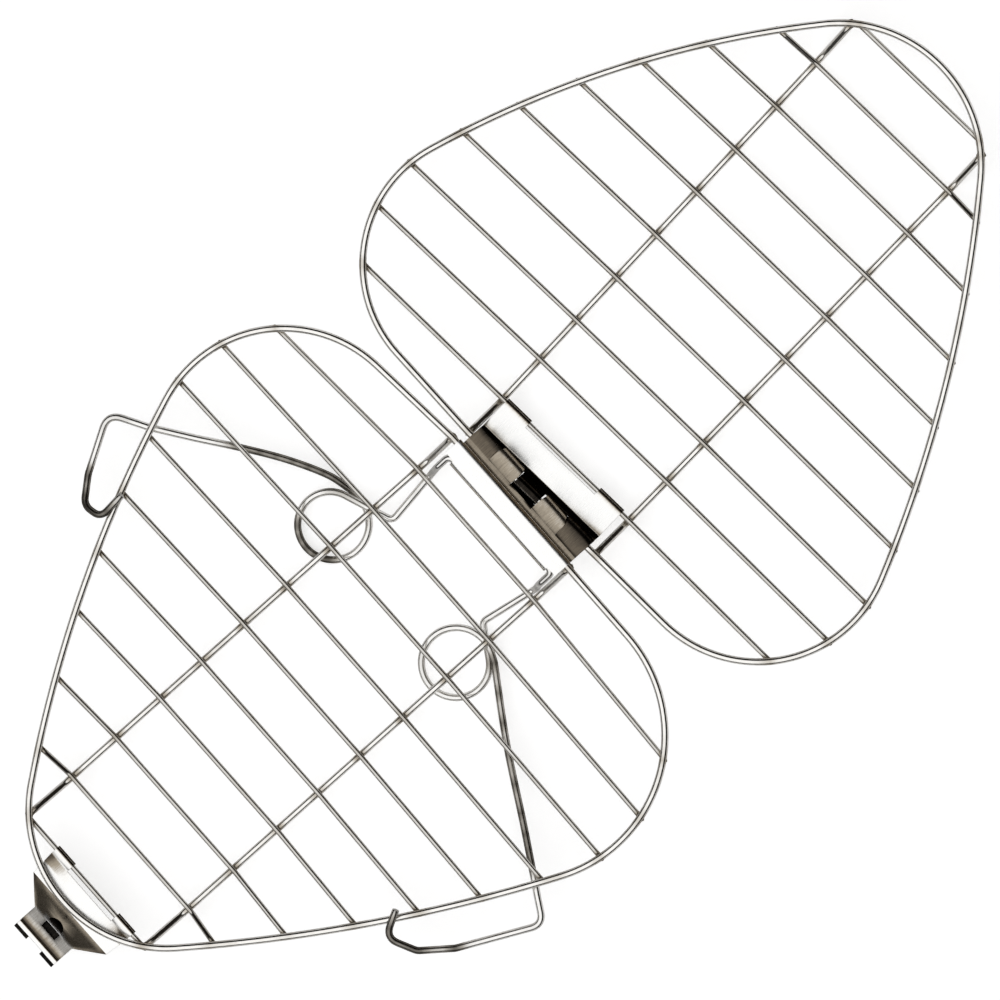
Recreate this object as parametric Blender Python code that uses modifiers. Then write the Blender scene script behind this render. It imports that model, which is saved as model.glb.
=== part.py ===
"""Folding campfire grill grate of welded steel wire, open and flat, ready to load.

Metres, +Z up. +X runs along the hinge, +Y from the lower half towards the upper half. The origin is the
centre of the flat top face of the hinge leaf. Heights in the design frame are counted from the plane of the
lower rim's wire centre; the root empty then carries the whole grate to the origin.
"""
from math import acos, asin, atan2, cos, degrees, hypot, pi, radians, sin, sqrt

import bmesh
import bpy
import numpy as np
from mathutils import Matrix, Vector

MM = 0.001

# Wire and sheet stock
RIM_WIRE = 3.0 * MM
RAIL_WIRE = 2.8 * MM
CROSS_WIRE = 2.0 * MM
SPRING_WIRE = 3.0 * MM
SHEET = 0.7 * MM
WELD_GAP = 0.3 * MM
CURL_PLAY = 0.2 * MM

# Rims: straight at the hinge, then on each side a flank, a corner arc, a side arc and half of the apex arc.
# The two hand-bent loops differ a little, so each has its own sizes; a side is (half width, corner radius,
# side radius, flank angle).
STRAIGHT_HALF = 35.5 * MM
LOWER_LENGTH = 246.9 * MM
LOWER_APEX_RADIUS = 56.0 * MM
LOWER_APEX_SLIP = 0.0 * MM
LOWER_LEFT_SIDE = (127.8 * MM, 55.3 * MM, 551.0 * MM, radians(5.0))
LOWER_RIGHT_SIDE = (132.1 * MM, 60.6 * MM, 711.0 * MM, radians(0.4))
UPPER_LENGTH = 239.8 * MM
UPPER_APEX_RADIUS = 57.2 * MM
UPPER_APEX_SLIP = -2.2 * MM
UPPER_LEFT_SIDE = (128.5 * MM, 53.4 * MM, 433.0 * MM, radians(3.8))
UPPER_RIGHT_SIDE = (129.7 * MM, 54.4 * MM, 552.0 * MM, radians(-0.7))

# Wires inside the rim
DISH_DEPTH = 12.0 * MM
RAIL_SPACING = 71.0 * MM
LOWER_RAIL_SPREAD = (0.6 * MM, 0.2 * MM)
UPPER_RAIL_SPREAD = (2.8 * MM, 0.7 * MM)
RAIL_RISE_RUN = 16.0 * MM
ROWS = 10
ROW_PITCH = 23.8 * MM
LOWER_FIRST_ROW = 21.2 * MM
LOWER_UNEVEN = (0.0, 0.9, 0.3, 0.8, 0.7, 0.2, -0.6, 0.1, 0.8, -0.2)
LOWER_SWEEP = (3.4 * MM, 1.6 * MM)
UPPER_FIRST_ROW = 18.2 * MM
UPPER_UNEVEN = (0.0, -1.6, -3.7, -3.7, -3.8, -3.7, -4.1, -3.9, -4.0, -3.7)
UPPER_SWEEP = (1.0 * MM, 0.0)
BEND_OUTSIDE_RAIL = 2.5 * MM
WIRE_BEND_RADIUS = 6.0 * MM

# Hinge
LINK = 8.8 * MM
SKEW = radians(4.4)
SIDE_SLIP = 3.0 * MM
LEAF_CENTRE = 0.9 * MM
LEAF_HALF_WIDTH = 33.4 * MM
LEAF_CURL_INSET = 4.6 * MM
LOBES = ((-18.7 * MM, -5.6 * MM), (7.5 * MM, 21.7 * MM))
LEAF_SLIT = 0.4 * MM
LEAF_END_INSET = 1.8 * MM
POCKET_START = 5.2 * MM
LOBE_FAR = 13.5 * MM
LOBE_RISE = 2.95 * MM
LOBE_CORNER = 1.3 * MM
LEFT_END_FAR = 11.7 * MM
RIGHT_END_FAR = 15.2 * MM
RIGHT_END_RISE = 3.3 * MM
RIGHT_END_CUT = 0.8 * MM
PLATE_OFFSET = -1.2 * MM
PLATE_HALF_WIDTH = 32.6 * MM
PLATE_TAB = 13.1 * MM
PLATE_FOLD = 4.9 * MM
PLATE_FOLD_RADIUS = 1.2 * MM
PLATE_LEFT_REACH = 6.9 * MM
PLATE_RIGHT_REACH = 5.7 * MM
ARM_GAP = 0.6 * MM

# Spring bail
BAIL_LINE = -5.8 * MM
BAIL_CENTRE = 0.9 * MM
LEG_HALF_SPACING = 31.5 * MM
BAIL_BEND_RADIUS = 3.2 * MM
COIL_RADIUS = 13.3 * MM
COIL_GROWTH = 2.1 * MM
COIL_LAYER = 3.9 * MM
COIL_POINTS = 24
LEFT_COIL = (-42.4 * MM, -63.9 * MM)
RIGHT_COIL = (33.8 * MM, -63.6 * MM)
LEFT_LEG_FOOT = (-27.0 * MM, -43.9 * MM)
RIGHT_LEG_FOOT = (28.0 * MM, -44.3 * MM)
LEG_LEVEL_AT = 19.0 * MM
LEFT_ARM_EXIT = radians(460)
RIGHT_ARM_EXIT = radians(-298)
ARM_UNDER_RIM = 5.7 * MM
HOOK_HEIGHT = 4.2 * MM
FLAT_CUT = 0.5 * MM
LEFT_ARM_ROUTE = ((-58.6, -51.5, -18.4), (-74.3, -59.4, -14.6), (-89.9, -69.6, -11.4), (-105.4, -80.8, -8.4))
LEFT_HOOK = ((-121.1, -91.6, 0.0), (-136.4, -100.5, 0.0), (-123.2, -122.9, 0.16), (-114.8, -132.0, 0.5),
             (-106.2, -129.6, 0.9), (-107.4, -116.6, 1.0))
RIGHT_ARM_ROUTE = ((71.7, -69.0, -14.4), (99.7, -84.4, -9.9), (114.6, -92.8, -7.3))
RIGHT_HOOK = ((126.6, -99.8, 0.0), (136.6, -105.6, 0.0), (120.2, -138.9, 0.16), (110.6, -150.9, 0.5),
              (98.2, -156.4, 0.9), (92.4, -145.2, 1.0))

# Apex catch, curled on the last cross wire of the lower half; distances run outwards from that wire
CATCH_CENTRE = 5.2 * MM
CATCH_PLAY = 0.15 * MM
CATCH_HALF_WIDTH = 23.4 * MM
CATCH_TAB = 10.0 * MM
CATCH_SHOULDER = 13.6 * MM
CATCH_SHOULDER_HALF = 22.4 * MM
CATCH_FOLD = 21.8 * MM
CATCH_NOSE_HALF = 11.4 * MM
CATCH_LIFT = 4.2 * MM
CATCH_BARREL = 7.8 * MM
CATCH_BARREL_RISE = 4.4 * MM
CATCH_LIP = 3.4 * MM
CATCH_TOOTH = 1.3 * MM
CATCH_WINDOW_HALF = 4.0 * MM
CATCH_SLOT = 2.6 * MM
CATCH_BRIDGE = 0.8 * MM

# Heights that follow from the stock
RIM_R = RIM_WIRE / 2
RAIL_R = RAIL_WIRE / 2
CROSS_R = CROSS_WIRE / 2
SPRING_R = SPRING_WIRE / 2
CROSS_END_Z = -(RIM_R + CROSS_R + WELD_GAP)
RAIL_END_Z = -(RIM_R + RAIL_R + WELD_GAP)
CROSS_Z = -DISH_DEPTH
RAIL_Z = CROSS_Z - CROSS_R - RAIL_R - WELD_GAP
COIL_TOP_Z = RAIL_Z - RAIL_R - SPRING_R - WELD_GAP
COIL_LOW_Z = COIL_TOP_Z - COIL_LAYER
FLOOR_Z = COIL_LOW_Z - SPRING_R + FLAT_CUT
CURL_R = RIM_R + CURL_PLAY + SHEET / 2
LOWER_ROWS = [LOWER_FIRST_ROW + i * ROW_PITCH + off * MM for i, off in enumerate(LOWER_UNEVEN)]
UPPER_ROWS = [UPPER_FIRST_ROW + i * ROW_PITCH + off * MM for i, off in enumerate(UPPER_UNEVEN)]
CATCH_ROW = LOWER_ROWS[-1]
DROOP = asin((RAIL_Z - RAIL_R - FLOOR_Z) / (UPPER_ROWS[-2] + RAIL_R))


def clear_scene():
    """Empty the file, so that the grate is the only thing in it."""
    for item in list(bpy.data.objects):
        bpy.data.objects.remove(item, do_unlink=True)


def new_collection(name):
    group = bpy.data.collections.new(name)
    bpy.context.scene.collection.children.link(group)
    return group


def metal(name, colour, roughness):
    """A plain metal finish; colour is the base colour as linear RGB."""
    finish = bpy.data.materials.new(name)
    finish.use_nodes = True
    shader = finish.node_tree.nodes["Principled BSDF"]
    shader.inputs["Base Color"].default_value = (*colour, 1.0)
    shader.inputs["Metallic"].default_value = 1.0
    shader.inputs["Roughness"].default_value = roughness
    finish.diffuse_color = (*colour, 1.0)
    return finish


def empty(name, group, parent=None, place=(0, 0, 0), turn=None):
    """A frame or joint axis that pieces hang from."""
    frame = bpy.data.objects.new(name, None)
    frame.empty_display_size = 10 * MM
    group.objects.link(frame)
    frame.parent = parent
    frame.location = place
    if turn is not None:
        frame.rotation_euler = turn.to_euler()
    return frame


class Half:
    """The sizes of one wire half, in its own frame: the straight stretch on X, the apex towards +Y."""

    def __init__(self, length, apex_radius, apex_slip, sides, rows, sweep, spread):
        self.length = length
        self.apex_radius = apex_radius
        self.apex_slip = apex_slip
        self.sides = sides
        self.rows = rows
        self.sweep = sweep
        self.spread = spread

    def outline(self, side):
        """The rim's centre line on one side (-1 left, +1 right), from the hinge to the apex, as (x, y)."""
        half_width, corner_radius, side_radius, flank = self.sides[side > 0]
        slip = side * self.apex_slip
        straight = STRAIGHT_HALF - slip
        along = (cos(flank), sin(flank))
        run = (half_width - slip - corner_radius - straight + corner_radius * along[1]) / along[0]
        foot = (straight + run * along[0], run * along[1])
        corner = (foot[0] - corner_radius * along[1], foot[1] + corner_radius * along[0])
        apex = (0.0, self.length - self.apex_radius)
        flat_arc = tangent_circle(corner, corner_radius, apex, self.apex_radius, side_radius)
        first = atan2(corner[1] - flat_arc[1], corner[0] - flat_arc[0])
        last = atan2(apex[1] - flat_arc[1], apex[0] - flat_arc[0])
        points = [(straight, 0.0)]
        points += arc_points(corner, corner_radius, flank - pi / 2, first, 14)
        points += arc_points(flat_arc, side_radius, first, last, 8)[1:]
        points += arc_points(apex, self.apex_radius, last, pi / 2, 8)[1:]
        return [(side * (x + slip), y) for x, y in points]

    def edge_at(self, side, distance):
        """X of the rim on one side at a distance from the straight stretch."""
        points = self.outline(side)
        for (x0, y0), (x1, y1) in zip(points[1:], points[2:]):
            if y0 <= distance <= y1:
                return x0 + (x1 - x0) * (distance - y0) / (y1 - y0)
        return 0.0

    def length_at(self, offset):
        """Y of the rim on its apex side at an offset from the long axis."""
        points = self.outline(1 if offset > 0 else -1)[::-1]
        for (x0, y0), (x1, y1) in zip(points, points[1:]):
            if abs(x0) <= abs(offset) <= abs(x1):
                return y0 + (y1 - y0) * (offset - x0) / (x1 - x0)
        return self.length


def tangent_circle(first, first_radius, second, second_radius, radius):
    """Centre of the big circle that holds both small circles against its inside, on the far side of them."""
    gap = (second[0] - first[0], second[1] - first[1])
    span = hypot(*gap)
    reach_1 = radius - first_radius
    reach_2 = radius - second_radius
    along = (reach_1 ** 2 - reach_2 ** 2 + span ** 2) / (2 * span)
    across = sqrt(reach_1 ** 2 - along ** 2)
    unit = (gap[0] / span, gap[1] / span)
    return (first[0] + unit[0] * along - unit[1] * across, first[1] + unit[1] * along + unit[0] * across)


def arc_points(centre, radius, start, end, steps):
    turns = [start + (end - start) * i / steps for i in range(steps + 1)]
    return [(centre[0] + radius * cos(a), centre[1] + radius * sin(a)) for a in turns]


def rounded(points, radius, steps=4):
    """A chain of straight runs whose corners are rounded as bent wire is."""
    corners = [Vector(p) for p in points]
    route = [corners[0]]
    for before, corner, after in zip(corners, corners[1:], corners[2:]):
        back = (before - corner).normalized()
        forth = (after - corner).normalized()
        turn = back.angle(forth)
        cut = min(radius / max(sin(turn / 2) / cos(turn / 2), 0.05), (before - corner).length * 0.45,
                  (after - corner).length * 0.45)
        start = corner + back * cut
        end = corner + forth * cut
        for i in range(steps + 1):
            t = i / steps
            route.append(start * (1 - t) ** 2 + corner * 2 * t * (1 - t) + end * t ** 2)
    route.append(corners[-1])
    return route


def flowing(points, steps=3):
    """A smooth curve through the points, as a long springy wire takes."""
    p = [Vector(q) for q in points]
    p = [2 * p[0] - p[1]] + p + [2 * p[-1] - p[-2]]
    route = []
    for a, b, c, d in zip(p, p[1:], p[2:], p[3:]):
        for i in range(steps):
            t = i / steps
            route.append(b + (c - a) * (t / 2) + (2 * a - 5 * b + 4 * c - d) * (t * t / 2)
                         + (3 * b - a - 3 * c + d) * (t ** 3 / 2))
    route.append(p[-2])
    return route


def wire(name, points, diameter, finish, parent, closed=False, resolution=2):
    """A round wire along the points, with closed ends, whose origin is its parent frame."""
    data = bpy.data.curves.new(name, "CURVE")
    data.dimensions = "3D"
    data.bevel_depth = diameter / 2
    data.bevel_resolution = resolution
    data.use_fill_caps = not closed
    line = data.splines.new("POLY")
    line.points.add(len(points) - 1)
    for point, place in zip(line.points, points):
        point.co = (*place, 1.0)
    line.use_cyclic_u = closed
    line.use_smooth = True
    data.materials.append(finish)
    item = bpy.data.objects.new(name, data)
    PARTS.objects.link(item)
    item.parent = parent
    return item


def as_mesh(item):
    """The same wire as a mesh, so that a cutter can work on it."""
    bpy.context.view_layer.update()
    graph = bpy.context.evaluated_depsgraph_get()
    data = bpy.data.meshes.new_from_object(item.evaluated_get(graph))
    shape = bmesh.new()
    shape.from_mesh(data)
    bmesh.ops.remove_doubles(shape, verts=shape.verts, dist=0.001 * MM)
    shape.to_mesh(data)
    shape.free()
    name, parent, place = item.name, item.parent, item.matrix_world.copy()
    old = item.data
    bpy.data.objects.remove(item, do_unlink=True)
    bpy.data.curves.remove(old)
    solid = bpy.data.objects.new(name, data)
    PARTS.objects.link(solid)
    solid.parent = parent
    bpy.context.view_layer.update()
    solid.matrix_world = place
    return solid


def cut_flat(item, cutter):
    cut = item.modifiers.new("flat_underside", "BOOLEAN")
    cut.operation = "DIFFERENCE"
    cut.solver = "EXACT"
    cut.object = cutter
    return item


def bent_sheet(name, rows, kept, finish, parent):
    """Sheet metal bent along rows of points; kept says which fields of the flat blank are metal.

    rows[j][i] is a point on row j and column i of the blank, and kept(i, j) tells whether the field between
    columns i and i + 1 and rows j and j + 1 is there.
    """
    shape = bmesh.new()
    wide = len(rows[0]) - 1
    deep = len(rows) - 1
    bmesh.ops.create_grid(shape, x_segments=wide, y_segments=deep, size=0.5)
    shape.verts.ensure_lookup_table()
    across = sorted({round(v.co.x, 5) for v in shape.verts})
    along = sorted({round(v.co.y, 5) for v in shape.verts})
    spot = {v: (across.index(round(v.co.x, 5)), along.index(round(v.co.y, 5))) for v in shape.verts}
    waste = []
    for field in shape.faces:
        i = min(spot[v][0] for v in field.verts)
        j = min(spot[v][1] for v in field.verts)
        if not kept(i, j):
            waste.append(field)
    for v, (i, j) in spot.items():
        v.co = rows[j][i]
    bmesh.ops.delete(shape, geom=waste, context="FACES")
    data = bpy.data.meshes.new(name)
    shape.to_mesh(data)
    shape.free()
    data.materials.append(finish)
    item = bpy.data.objects.new(name, data)
    PARTS.objects.link(item)
    item.parent = parent
    shell = item.modifiers.new("thickness", "SOLIDIFY")
    shell.thickness = SHEET
    shell.offset = 0.0
    shell.use_even_offset = True
    return item


def cross_wire_points(half, row):
    """One cross wire: flat over the rails, then up on both sides to the underside of the rim."""
    away = half.rows[row]
    if row == ROWS - 1:
        return [(half.edge_at(side, away), away, CROSS_END_Z) for side in (-1, 1)]
    sweep = half.sweep if row == 0 else (0.0, 0.0)
    bend = RAIL_SPACING / 2 + BEND_OUTSIDE_RAIL
    corners = [(half.edge_at(-1, away + sweep[0]), away + sweep[0], CROSS_END_Z), (-bend, away, CROSS_Z),
               (bend, away, CROSS_Z), (half.edge_at(1, away + sweep[1]), away + sweep[1], CROSS_END_Z)]
    return rounded(corners, WIRE_BEND_RADIUS, 3)


def rail_points(half, side):
    """One rail, from the rim's straight stretch down under the dish and up again to the apex arc."""
    near = side * RAIL_SPACING / 2
    far = near + side * half.spread[side > 0]
    corners = [(near, 0.0, RAIL_END_Z), (near, RAIL_RISE_RUN, RAIL_Z), (far, half.rows[-2] + 2 * CROSS_WIRE, RAIL_Z),
               (far, half.length_at(far), RAIL_END_Z)]
    return rounded(corners, WIRE_BEND_RADIUS, 3)


def wire_half(prefix, half, way, parent):
    """Rim, rails and cross wires of one half; way is +1 where the half runs to +Y and -1 where it runs to -Y."""
    loop = half.outline(1) + half.outline(-1)[-2::-1]
    wire(prefix + "_rim", [(x, way * y, 0.0) for x, y in loop], RIM_WIRE, BRIGHT, parent, closed=True)
    for word, side in (("left", -1), ("right", 1)):
        rail = [(x, way * y, z) for x, y, z in rail_points(half, side)]
        wire(f"{prefix}_rail_{word}", rail, RAIL_WIRE, BRIGHT, parent)
    for row in range(ROWS):
        line = [(x, way * y, z) for x, y, z in cross_wire_points(half, row)]
        wire(f"{prefix}_cross_wire_{row + 1:02d}", line, CROSS_WIRE, BRIGHT, parent)


def turn_round(centre, radius, start, end, steps):
    """Section points (y, z) of sheet bent round a centre, from one angle to another in degrees."""
    return arc_points(centre, radius, radians(start), radians(end), steps)


def pocket_profile(far, rise, shares):
    """Section points (y, z) beyond the pocket's start; shares are of the far distance and of the height."""
    return [(POCKET_START + (far - POCKET_START) * a, rise * b) for a, b in shares]


def hinge_leaf(parent):
    """The leaf folded round the bail and the lower rim, then spread over the pin as two lobes between flat ends."""
    section = [(CURL_R * 0.8, -CURL_R)]
    section += turn_round((BAIL_LINE, 0.0), CURL_R, -90, -270, 9)
    strip_start = len(section) - 1
    section += turn_round((0.0, 0.0), CURL_R, 90, 25, 4)
    hem_end = len(section) - 1
    section += [(CURL_R * a, CURL_R * b) for a, b in ((1.15, 0.2), (1.4, 0.4), (1.65, 0.8), (2.05, 0.98))]
    section += [(POCKET_START, CURL_R)]
    slit_row = len(section) - 1
    lobe = pocket_profile(LOBE_FAR, LOBE_RISE, ((0.16, 0.88), (0.4, 1.0), (0.64, 0.98), (0.84, 0.82), (0.96, 0.44),
                                                (1.0, 0.0), (0.95, -0.47), (0.82, -0.85), (0.64, -0.98),
                                                (0.34, -0.98), (0.05, -0.97)))
    left_end = pocket_profile(LEFT_END_FAR, CURL_R, ((0.2, 1.0), (0.5, 1.0), (0.8, 1.0), (1.0, 1.0)))
    right_shares = ((0.13, 0.85), (0.33, 1.0), (0.53, 1.0), (0.7, 0.985), (0.84, 0.85), (0.94, 0.55), (1.0, 0.12))
    right_inner = pocket_profile(RIGHT_END_FAR - RIGHT_END_CUT, RIGHT_END_RISE, right_shares)
    right_end = pocket_profile(RIGHT_END_FAR, RIGHT_END_RISE, right_shares)
    tongue = pocket_profile(POCKET_START + RIM_R, CURL_R, ((0.1, 0.25), (0.27, -0.5), (0.66, -1.2)))
    left = LEAF_CENTRE - LEAF_HALF_WIDTH
    right = LEAF_CENTRE + LEAF_HALF_WIDTH
    (lobe_1, lobe_2), (lobe_3, lobe_4) = LOBES
    columns = [left, left + LEAF_END_INSET, left + LEAF_CURL_INSET, lobe_1 - LEAF_SLIT, lobe_1, lobe_2,
               lobe_2 + LEAF_SLIT, lobe_3 - LEAF_SLIT, lobe_3, lobe_4, lobe_4 + LEAF_SLIT, right - LEAF_CURL_INSET,
               right]
    profiles = [left_end] * 4 + [lobe] * 2 + [tongue] * 2 + [lobe] * 2 + [right_inner] + [right_end] * 2
    lengths = {1: len(left_end), 2: len(left_end), 4: len(lobe), 6: len(tongue), 8: len(lobe), 10: len(right_end),
               11: len(right_end)}
    corner_hand = {4: 1, 5: -1, 8: 1, 9: -1}

    def place(i, j):
        if j <= slit_row:
            return (columns[i], *section[j])
        profile = profiles[i]
        y, z = profile[min(j - slit_row, len(profile)) - 1]
        z -= max(j - slit_row - len(profile), 0) * 0.1 * MM
        round_off = max((y - POCKET_START) / (LOBE_FAR - POCKET_START) - 0.55, 0.0) / 0.45
        return (columns[i] + corner_hand.get(i, 0) * LOBE_CORNER * round_off ** 2, y, z)

    def kept(i, j):
        if j < strip_start:
            return 2 <= i <= 10
        if j < hem_end:
            return True
        if j < slit_row:
            return i >= 1
        return j - slit_row < lengths.get(i, 0)

    rows = [[place(i, j) for i in range(len(columns))] for j in range(slit_row + len(lobe) + 1)]
    return bent_sheet("hinge_leaf", rows, kept, BRUSHED, parent)


def hinge_plate(parent):
    """The plate of the upper half: an arm curled on the pin, a steep face down to the dish, and two tabs."""
    tab_r = CROSS_R + CURL_PLAY + SHEET / 2
    web_z = CROSS_Z + tab_r
    fold = (PLATE_FOLD, web_z)
    lean = atan2(fold[1], fold[0]) - asin(CURL_R / hypot(*fold))
    section = turn_round((0.0, 0.0), CURL_R, 250, degrees(lean) + 90, 9)
    start = section[-1]
    for reach in (PLATE_RIGHT_REACH, PLATE_LEFT_REACH):
        drop = sqrt(reach ** 2 - CURL_R ** 2)
        section.append((start[0] + cos(lean) * drop, start[1] + sin(lean) * drop))
    right_row = len(section) - 2
    left_row = len(section) - 1
    web_end = UPPER_FIRST_ROW - CROSS_R - SHEET
    bend = rounded([(*section[-1], 0.0), (*fold, 0.0), (web_end, web_z, 0.0)], PLATE_FOLD_RADIUS, 4)
    section += [(p.x, p.y) for p in bend[1:]]
    tab_row = len(section) - 1
    section += turn_round((UPPER_FIRST_ROW, CROSS_Z), tab_r, 90, -120, 8)
    left = PLATE_OFFSET - PLATE_HALF_WIDTH
    right = PLATE_OFFSET + PLATE_HALF_WIDTH
    columns = [left, left + PLATE_TAB, LOBES[0][1] + ARM_GAP - SIDE_SLIP, LOBES[1][0] - ARM_GAP - SIDE_SLIP,
               right - PLATE_TAB, right]

    def kept(i, j):
        if j < right_row:
            return i == 2
        if j < left_row:
            return i >= 2
        if j < tab_row:
            return True
        return i in (0, 4)

    rows = [[(x, y, z) for x in columns] for y, z in section]
    return bent_sheet("hinge_plate", rows, kept, BRUSHED, parent)


def apex_catch(parent):
    """The catch on the lower apex cross wire: tabs, web under the rim, raised nose with a barrel and a lip."""
    tab_r = CROSS_R + CATCH_PLAY + SHEET / 2
    under_rim = -CROSS_END_Z - RIM_R - WELD_GAP - SHEET
    web = [(1.2 * tab_r, 0.7 * tab_r), (1.9 * tab_r, under_rim), (CATCH_SHOULDER, under_rim)]
    section = turn_round((0.0, 0.0), tab_r, -60, -270, 8)
    tab_end = len(section) + 1
    section += web
    nose = (CATCH_FOLD, under_rim + CATCH_LIFT)
    d_hole = CATCH_FOLD - CATCH_BRIDGE - CATCH_SLOT
    bridge = CATCH_FOLD - CATCH_BRIDGE
    slope = (nose[1] - under_rim) / (CATCH_FOLD - CATCH_SHOULDER)
    section += [(d, under_rim + (d - CATCH_SHOULDER) * slope) for d in (d_hole, bridge)] + [nose]
    hole_row = len(section) - 3
    fold_row = len(section) - 1
    steps = 8
    for i in range(1, steps + 1):
        t = i / steps
        section.append((CATCH_FOLD + CATCH_BARREL * t, nose[1] + CATCH_BARREL_RISE * sin(pi * t) ** 0.8 * (1 - 0.15 * t)))
    window_end = fold_row + 3
    barrel_end = len(section) - 1
    section.append((CATCH_FOLD + CATCH_BARREL + CATCH_LIP, nose[1] + 0.1 * CATCH_LIP))
    tooth_row = len(section) - 1
    section.append((CATCH_FOLD + CATCH_BARREL + CATCH_LIP + 0.5 * SHEET, nose[1] - CATCH_TOOTH))
    shares = (-1.0, -1.0 + CATCH_TAB / CATCH_HALF_WIDTH, -CATCH_WINDOW_HALF / CATCH_NOSE_HALF,
              CATCH_WINDOW_HALF / CATCH_NOSE_HALF, 1.0 - CATCH_TAB / CATCH_HALF_WIDTH, 1.0)

    def half_width(distance):
        if distance <= 2 * tab_r:
            return CATCH_HALF_WIDTH
        stops = ((2 * tab_r, CATCH_HALF_WIDTH), (CATCH_SHOULDER, CATCH_SHOULDER_HALF),
                 (CATCH_FOLD, CATCH_NOSE_HALF), (1.0, CATCH_NOSE_HALF))
        return float(np.interp(distance, [s[0] for s in stops], [s[1] for s in stops]))

    def kept(i, j):
        if j < tab_end:
            return i in (0, 4)
        if j == hole_row:
            return i != 2
        if fold_row <= j < window_end:
            return i != 2
        if j >= tooth_row:
            return i in (0, 1, 3, 4)
        return True

    rows = [[(CATCH_CENTRE + u * half_width(out), -out, z) for u in shares] for out, z in section]
    return bent_sheet("apex_catch", rows, kept, BRUSHED, parent)


def coil_points(centre, start, turn, low, high):
    """One loop of the spring, growing in radius as it climbs or sinks; angles in radians, seen from above."""
    steps = max(2, round(COIL_POINTS * abs(turn) / (2 * pi)))
    points = []
    for i in range(steps + 1):
        t = i / steps
        angle = start + turn * t
        radius = COIL_RADIUS + COIL_GROWTH * t
        points.append(Vector((centre[0] + radius * cos(angle), centre[1] + radius * sin(angle), low + (high - low) * t)))
    return points


def coil_entry(centre, foot, hand):
    """Angle at which a straight run from the foot meets the coil; hand is +1 anticlockwise, -1 clockwise."""
    away = (foot[0] - centre[0], foot[1] - centre[1])
    return atan2(away[1], away[0]) + hand * acos(COIL_RADIUS / hypot(*away))


def bail_leg(side, foot, level):
    """From the end of the bail's middle to the leg's foot, in the bail's order."""
    x = BAIL_CENTRE + side * LEG_HALF_SPACING
    return [(x, BAIL_LINE, 0.0), (x, BAIL_LINE - 2.4 * BAIL_BEND_RADIUS, -RIM_WIRE), (x, -LEG_LEVEL_AT, level),
            (foot[0], foot[1], level)]


def least_gap(points, diameter):
    """Least distance between stretches of a wire that aren't next to each other, less its diameter."""
    dense = []
    for a, b in zip(points, points[1:]):
        for i in range(8):
            dense.append(a + (b - a) * (i / 8))
    spots = np.array(dense)
    travel = np.concatenate([[0.0], np.cumsum(np.linalg.norm(np.diff(spots, axis=0), axis=1))])
    best = 1.0
    for i in range(len(spots)):
        apart = travel > travel[i] + 4 * diameter
        if apart.any():
            best = min(best, float(np.linalg.norm(spots[apart] - spots[i], axis=1).min()))
    return best - diameter


def spring_bail(parent, left_parent, right_parent):
    """Middle, legs and coils as one wire, and the two arms that the coils press against the rim."""
    left_in = coil_entry(LEFT_COIL, LEFT_LEG_FOOT, 1)
    right_in = coil_entry(RIGHT_COIL, RIGHT_LEG_FOOT, -1)
    left_coil = coil_points(LEFT_COIL, left_in, LEFT_ARM_EXIT - left_in, COIL_TOP_Z, COIL_LOW_Z)
    right_coil = coil_points(RIGHT_COIL, right_in, RIGHT_ARM_EXIT - right_in, COIL_LOW_Z, COIL_TOP_Z)
    runs = bail_leg(-1, LEFT_LEG_FOOT, COIL_TOP_Z)[::-1] + bail_leg(1, RIGHT_LEG_FOOT, COIL_LOW_Z)
    corners = [left_coil[0]] + [Vector(p) for p in runs] + [right_coil[0]]
    middle = rounded(corners, BAIL_BEND_RADIUS, 4)
    print("least gap of the left coil in mm", round(least_gap(left_coil[::-1] + middle[:8], SPRING_WIRE) / MM, 3))
    print("least gap of the right coil in mm", round(least_gap(middle[-8:] + right_coil, SPRING_WIRE) / MM, 3))
    route = left_coil[:0:-1] + middle + right_coil[1:]
    bail = as_mesh(wire("spring_bail", local(route, parent), SPRING_WIRE, BRIGHT, parent, resolution=1))
    cut_flat(bail, CUTTER)
    for word, coil, run, hook, frame in (("left", left_coil, LEFT_ARM_ROUTE, LEFT_HOOK, left_parent),
                                         ("right", right_coil, RIGHT_ARM_ROUTE, RIGHT_HOOK, right_parent)):
        ahead = (coil[-1] - coil[-2]).normalized()
        start = coil[-1] + ahead * WELD_GAP
        lead = start + ahead * SPRING_WIRE
        out = [start, lead] + [Vector(p) * MM for p in run]
        rise = HOOK_HEIGHT + ARM_UNDER_RIM
        bends = [Vector((x * MM, y * MM, -ARM_UNDER_RIM + share * rise)) for x, y, share in hook]
        line = [start] + flowing([lead] + out[2:] + bends[:1])[:-1]
        line += rounded([line[-1]] + bends, 2 * BAIL_BEND_RADIUS, 5)[1:]
        arm = as_mesh(wire(f"{word}_spring_arm", local(line, frame), SPRING_WIRE, BRIGHT, frame))
        cut_flat(arm, CUTTER)


def local(points, frame):
    """Design-frame points as seen from a frame that hangs from the lower half's frame."""
    shift = Vector(frame.location)
    walker = frame.parent
    while walker is not None and walker.name != "grate_frame":
        shift += walker.location
        walker = walker.parent
    return [Vector(p) - shift for p in points]


def floor_cutter():
    """A block under the grate whose top is the plane it stands on."""
    bpy.ops.mesh.primitive_cube_add(size=1.0)
    block = bpy.context.active_object
    block.name = "floor_cutter"
    for group in block.users_collection:
        group.objects.unlink(block)
    CUTTERS.objects.link(block)
    block.scale = (LOWER_LENGTH, LOWER_LENGTH, 20 * MM)
    block.parent = GRATE
    block.location = (0.0, -LOWER_LENGTH / 2, FLOOR_Z - 10 * MM)
    block.hide_render = True
    block.display_type = "WIRE"
    return block


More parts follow.
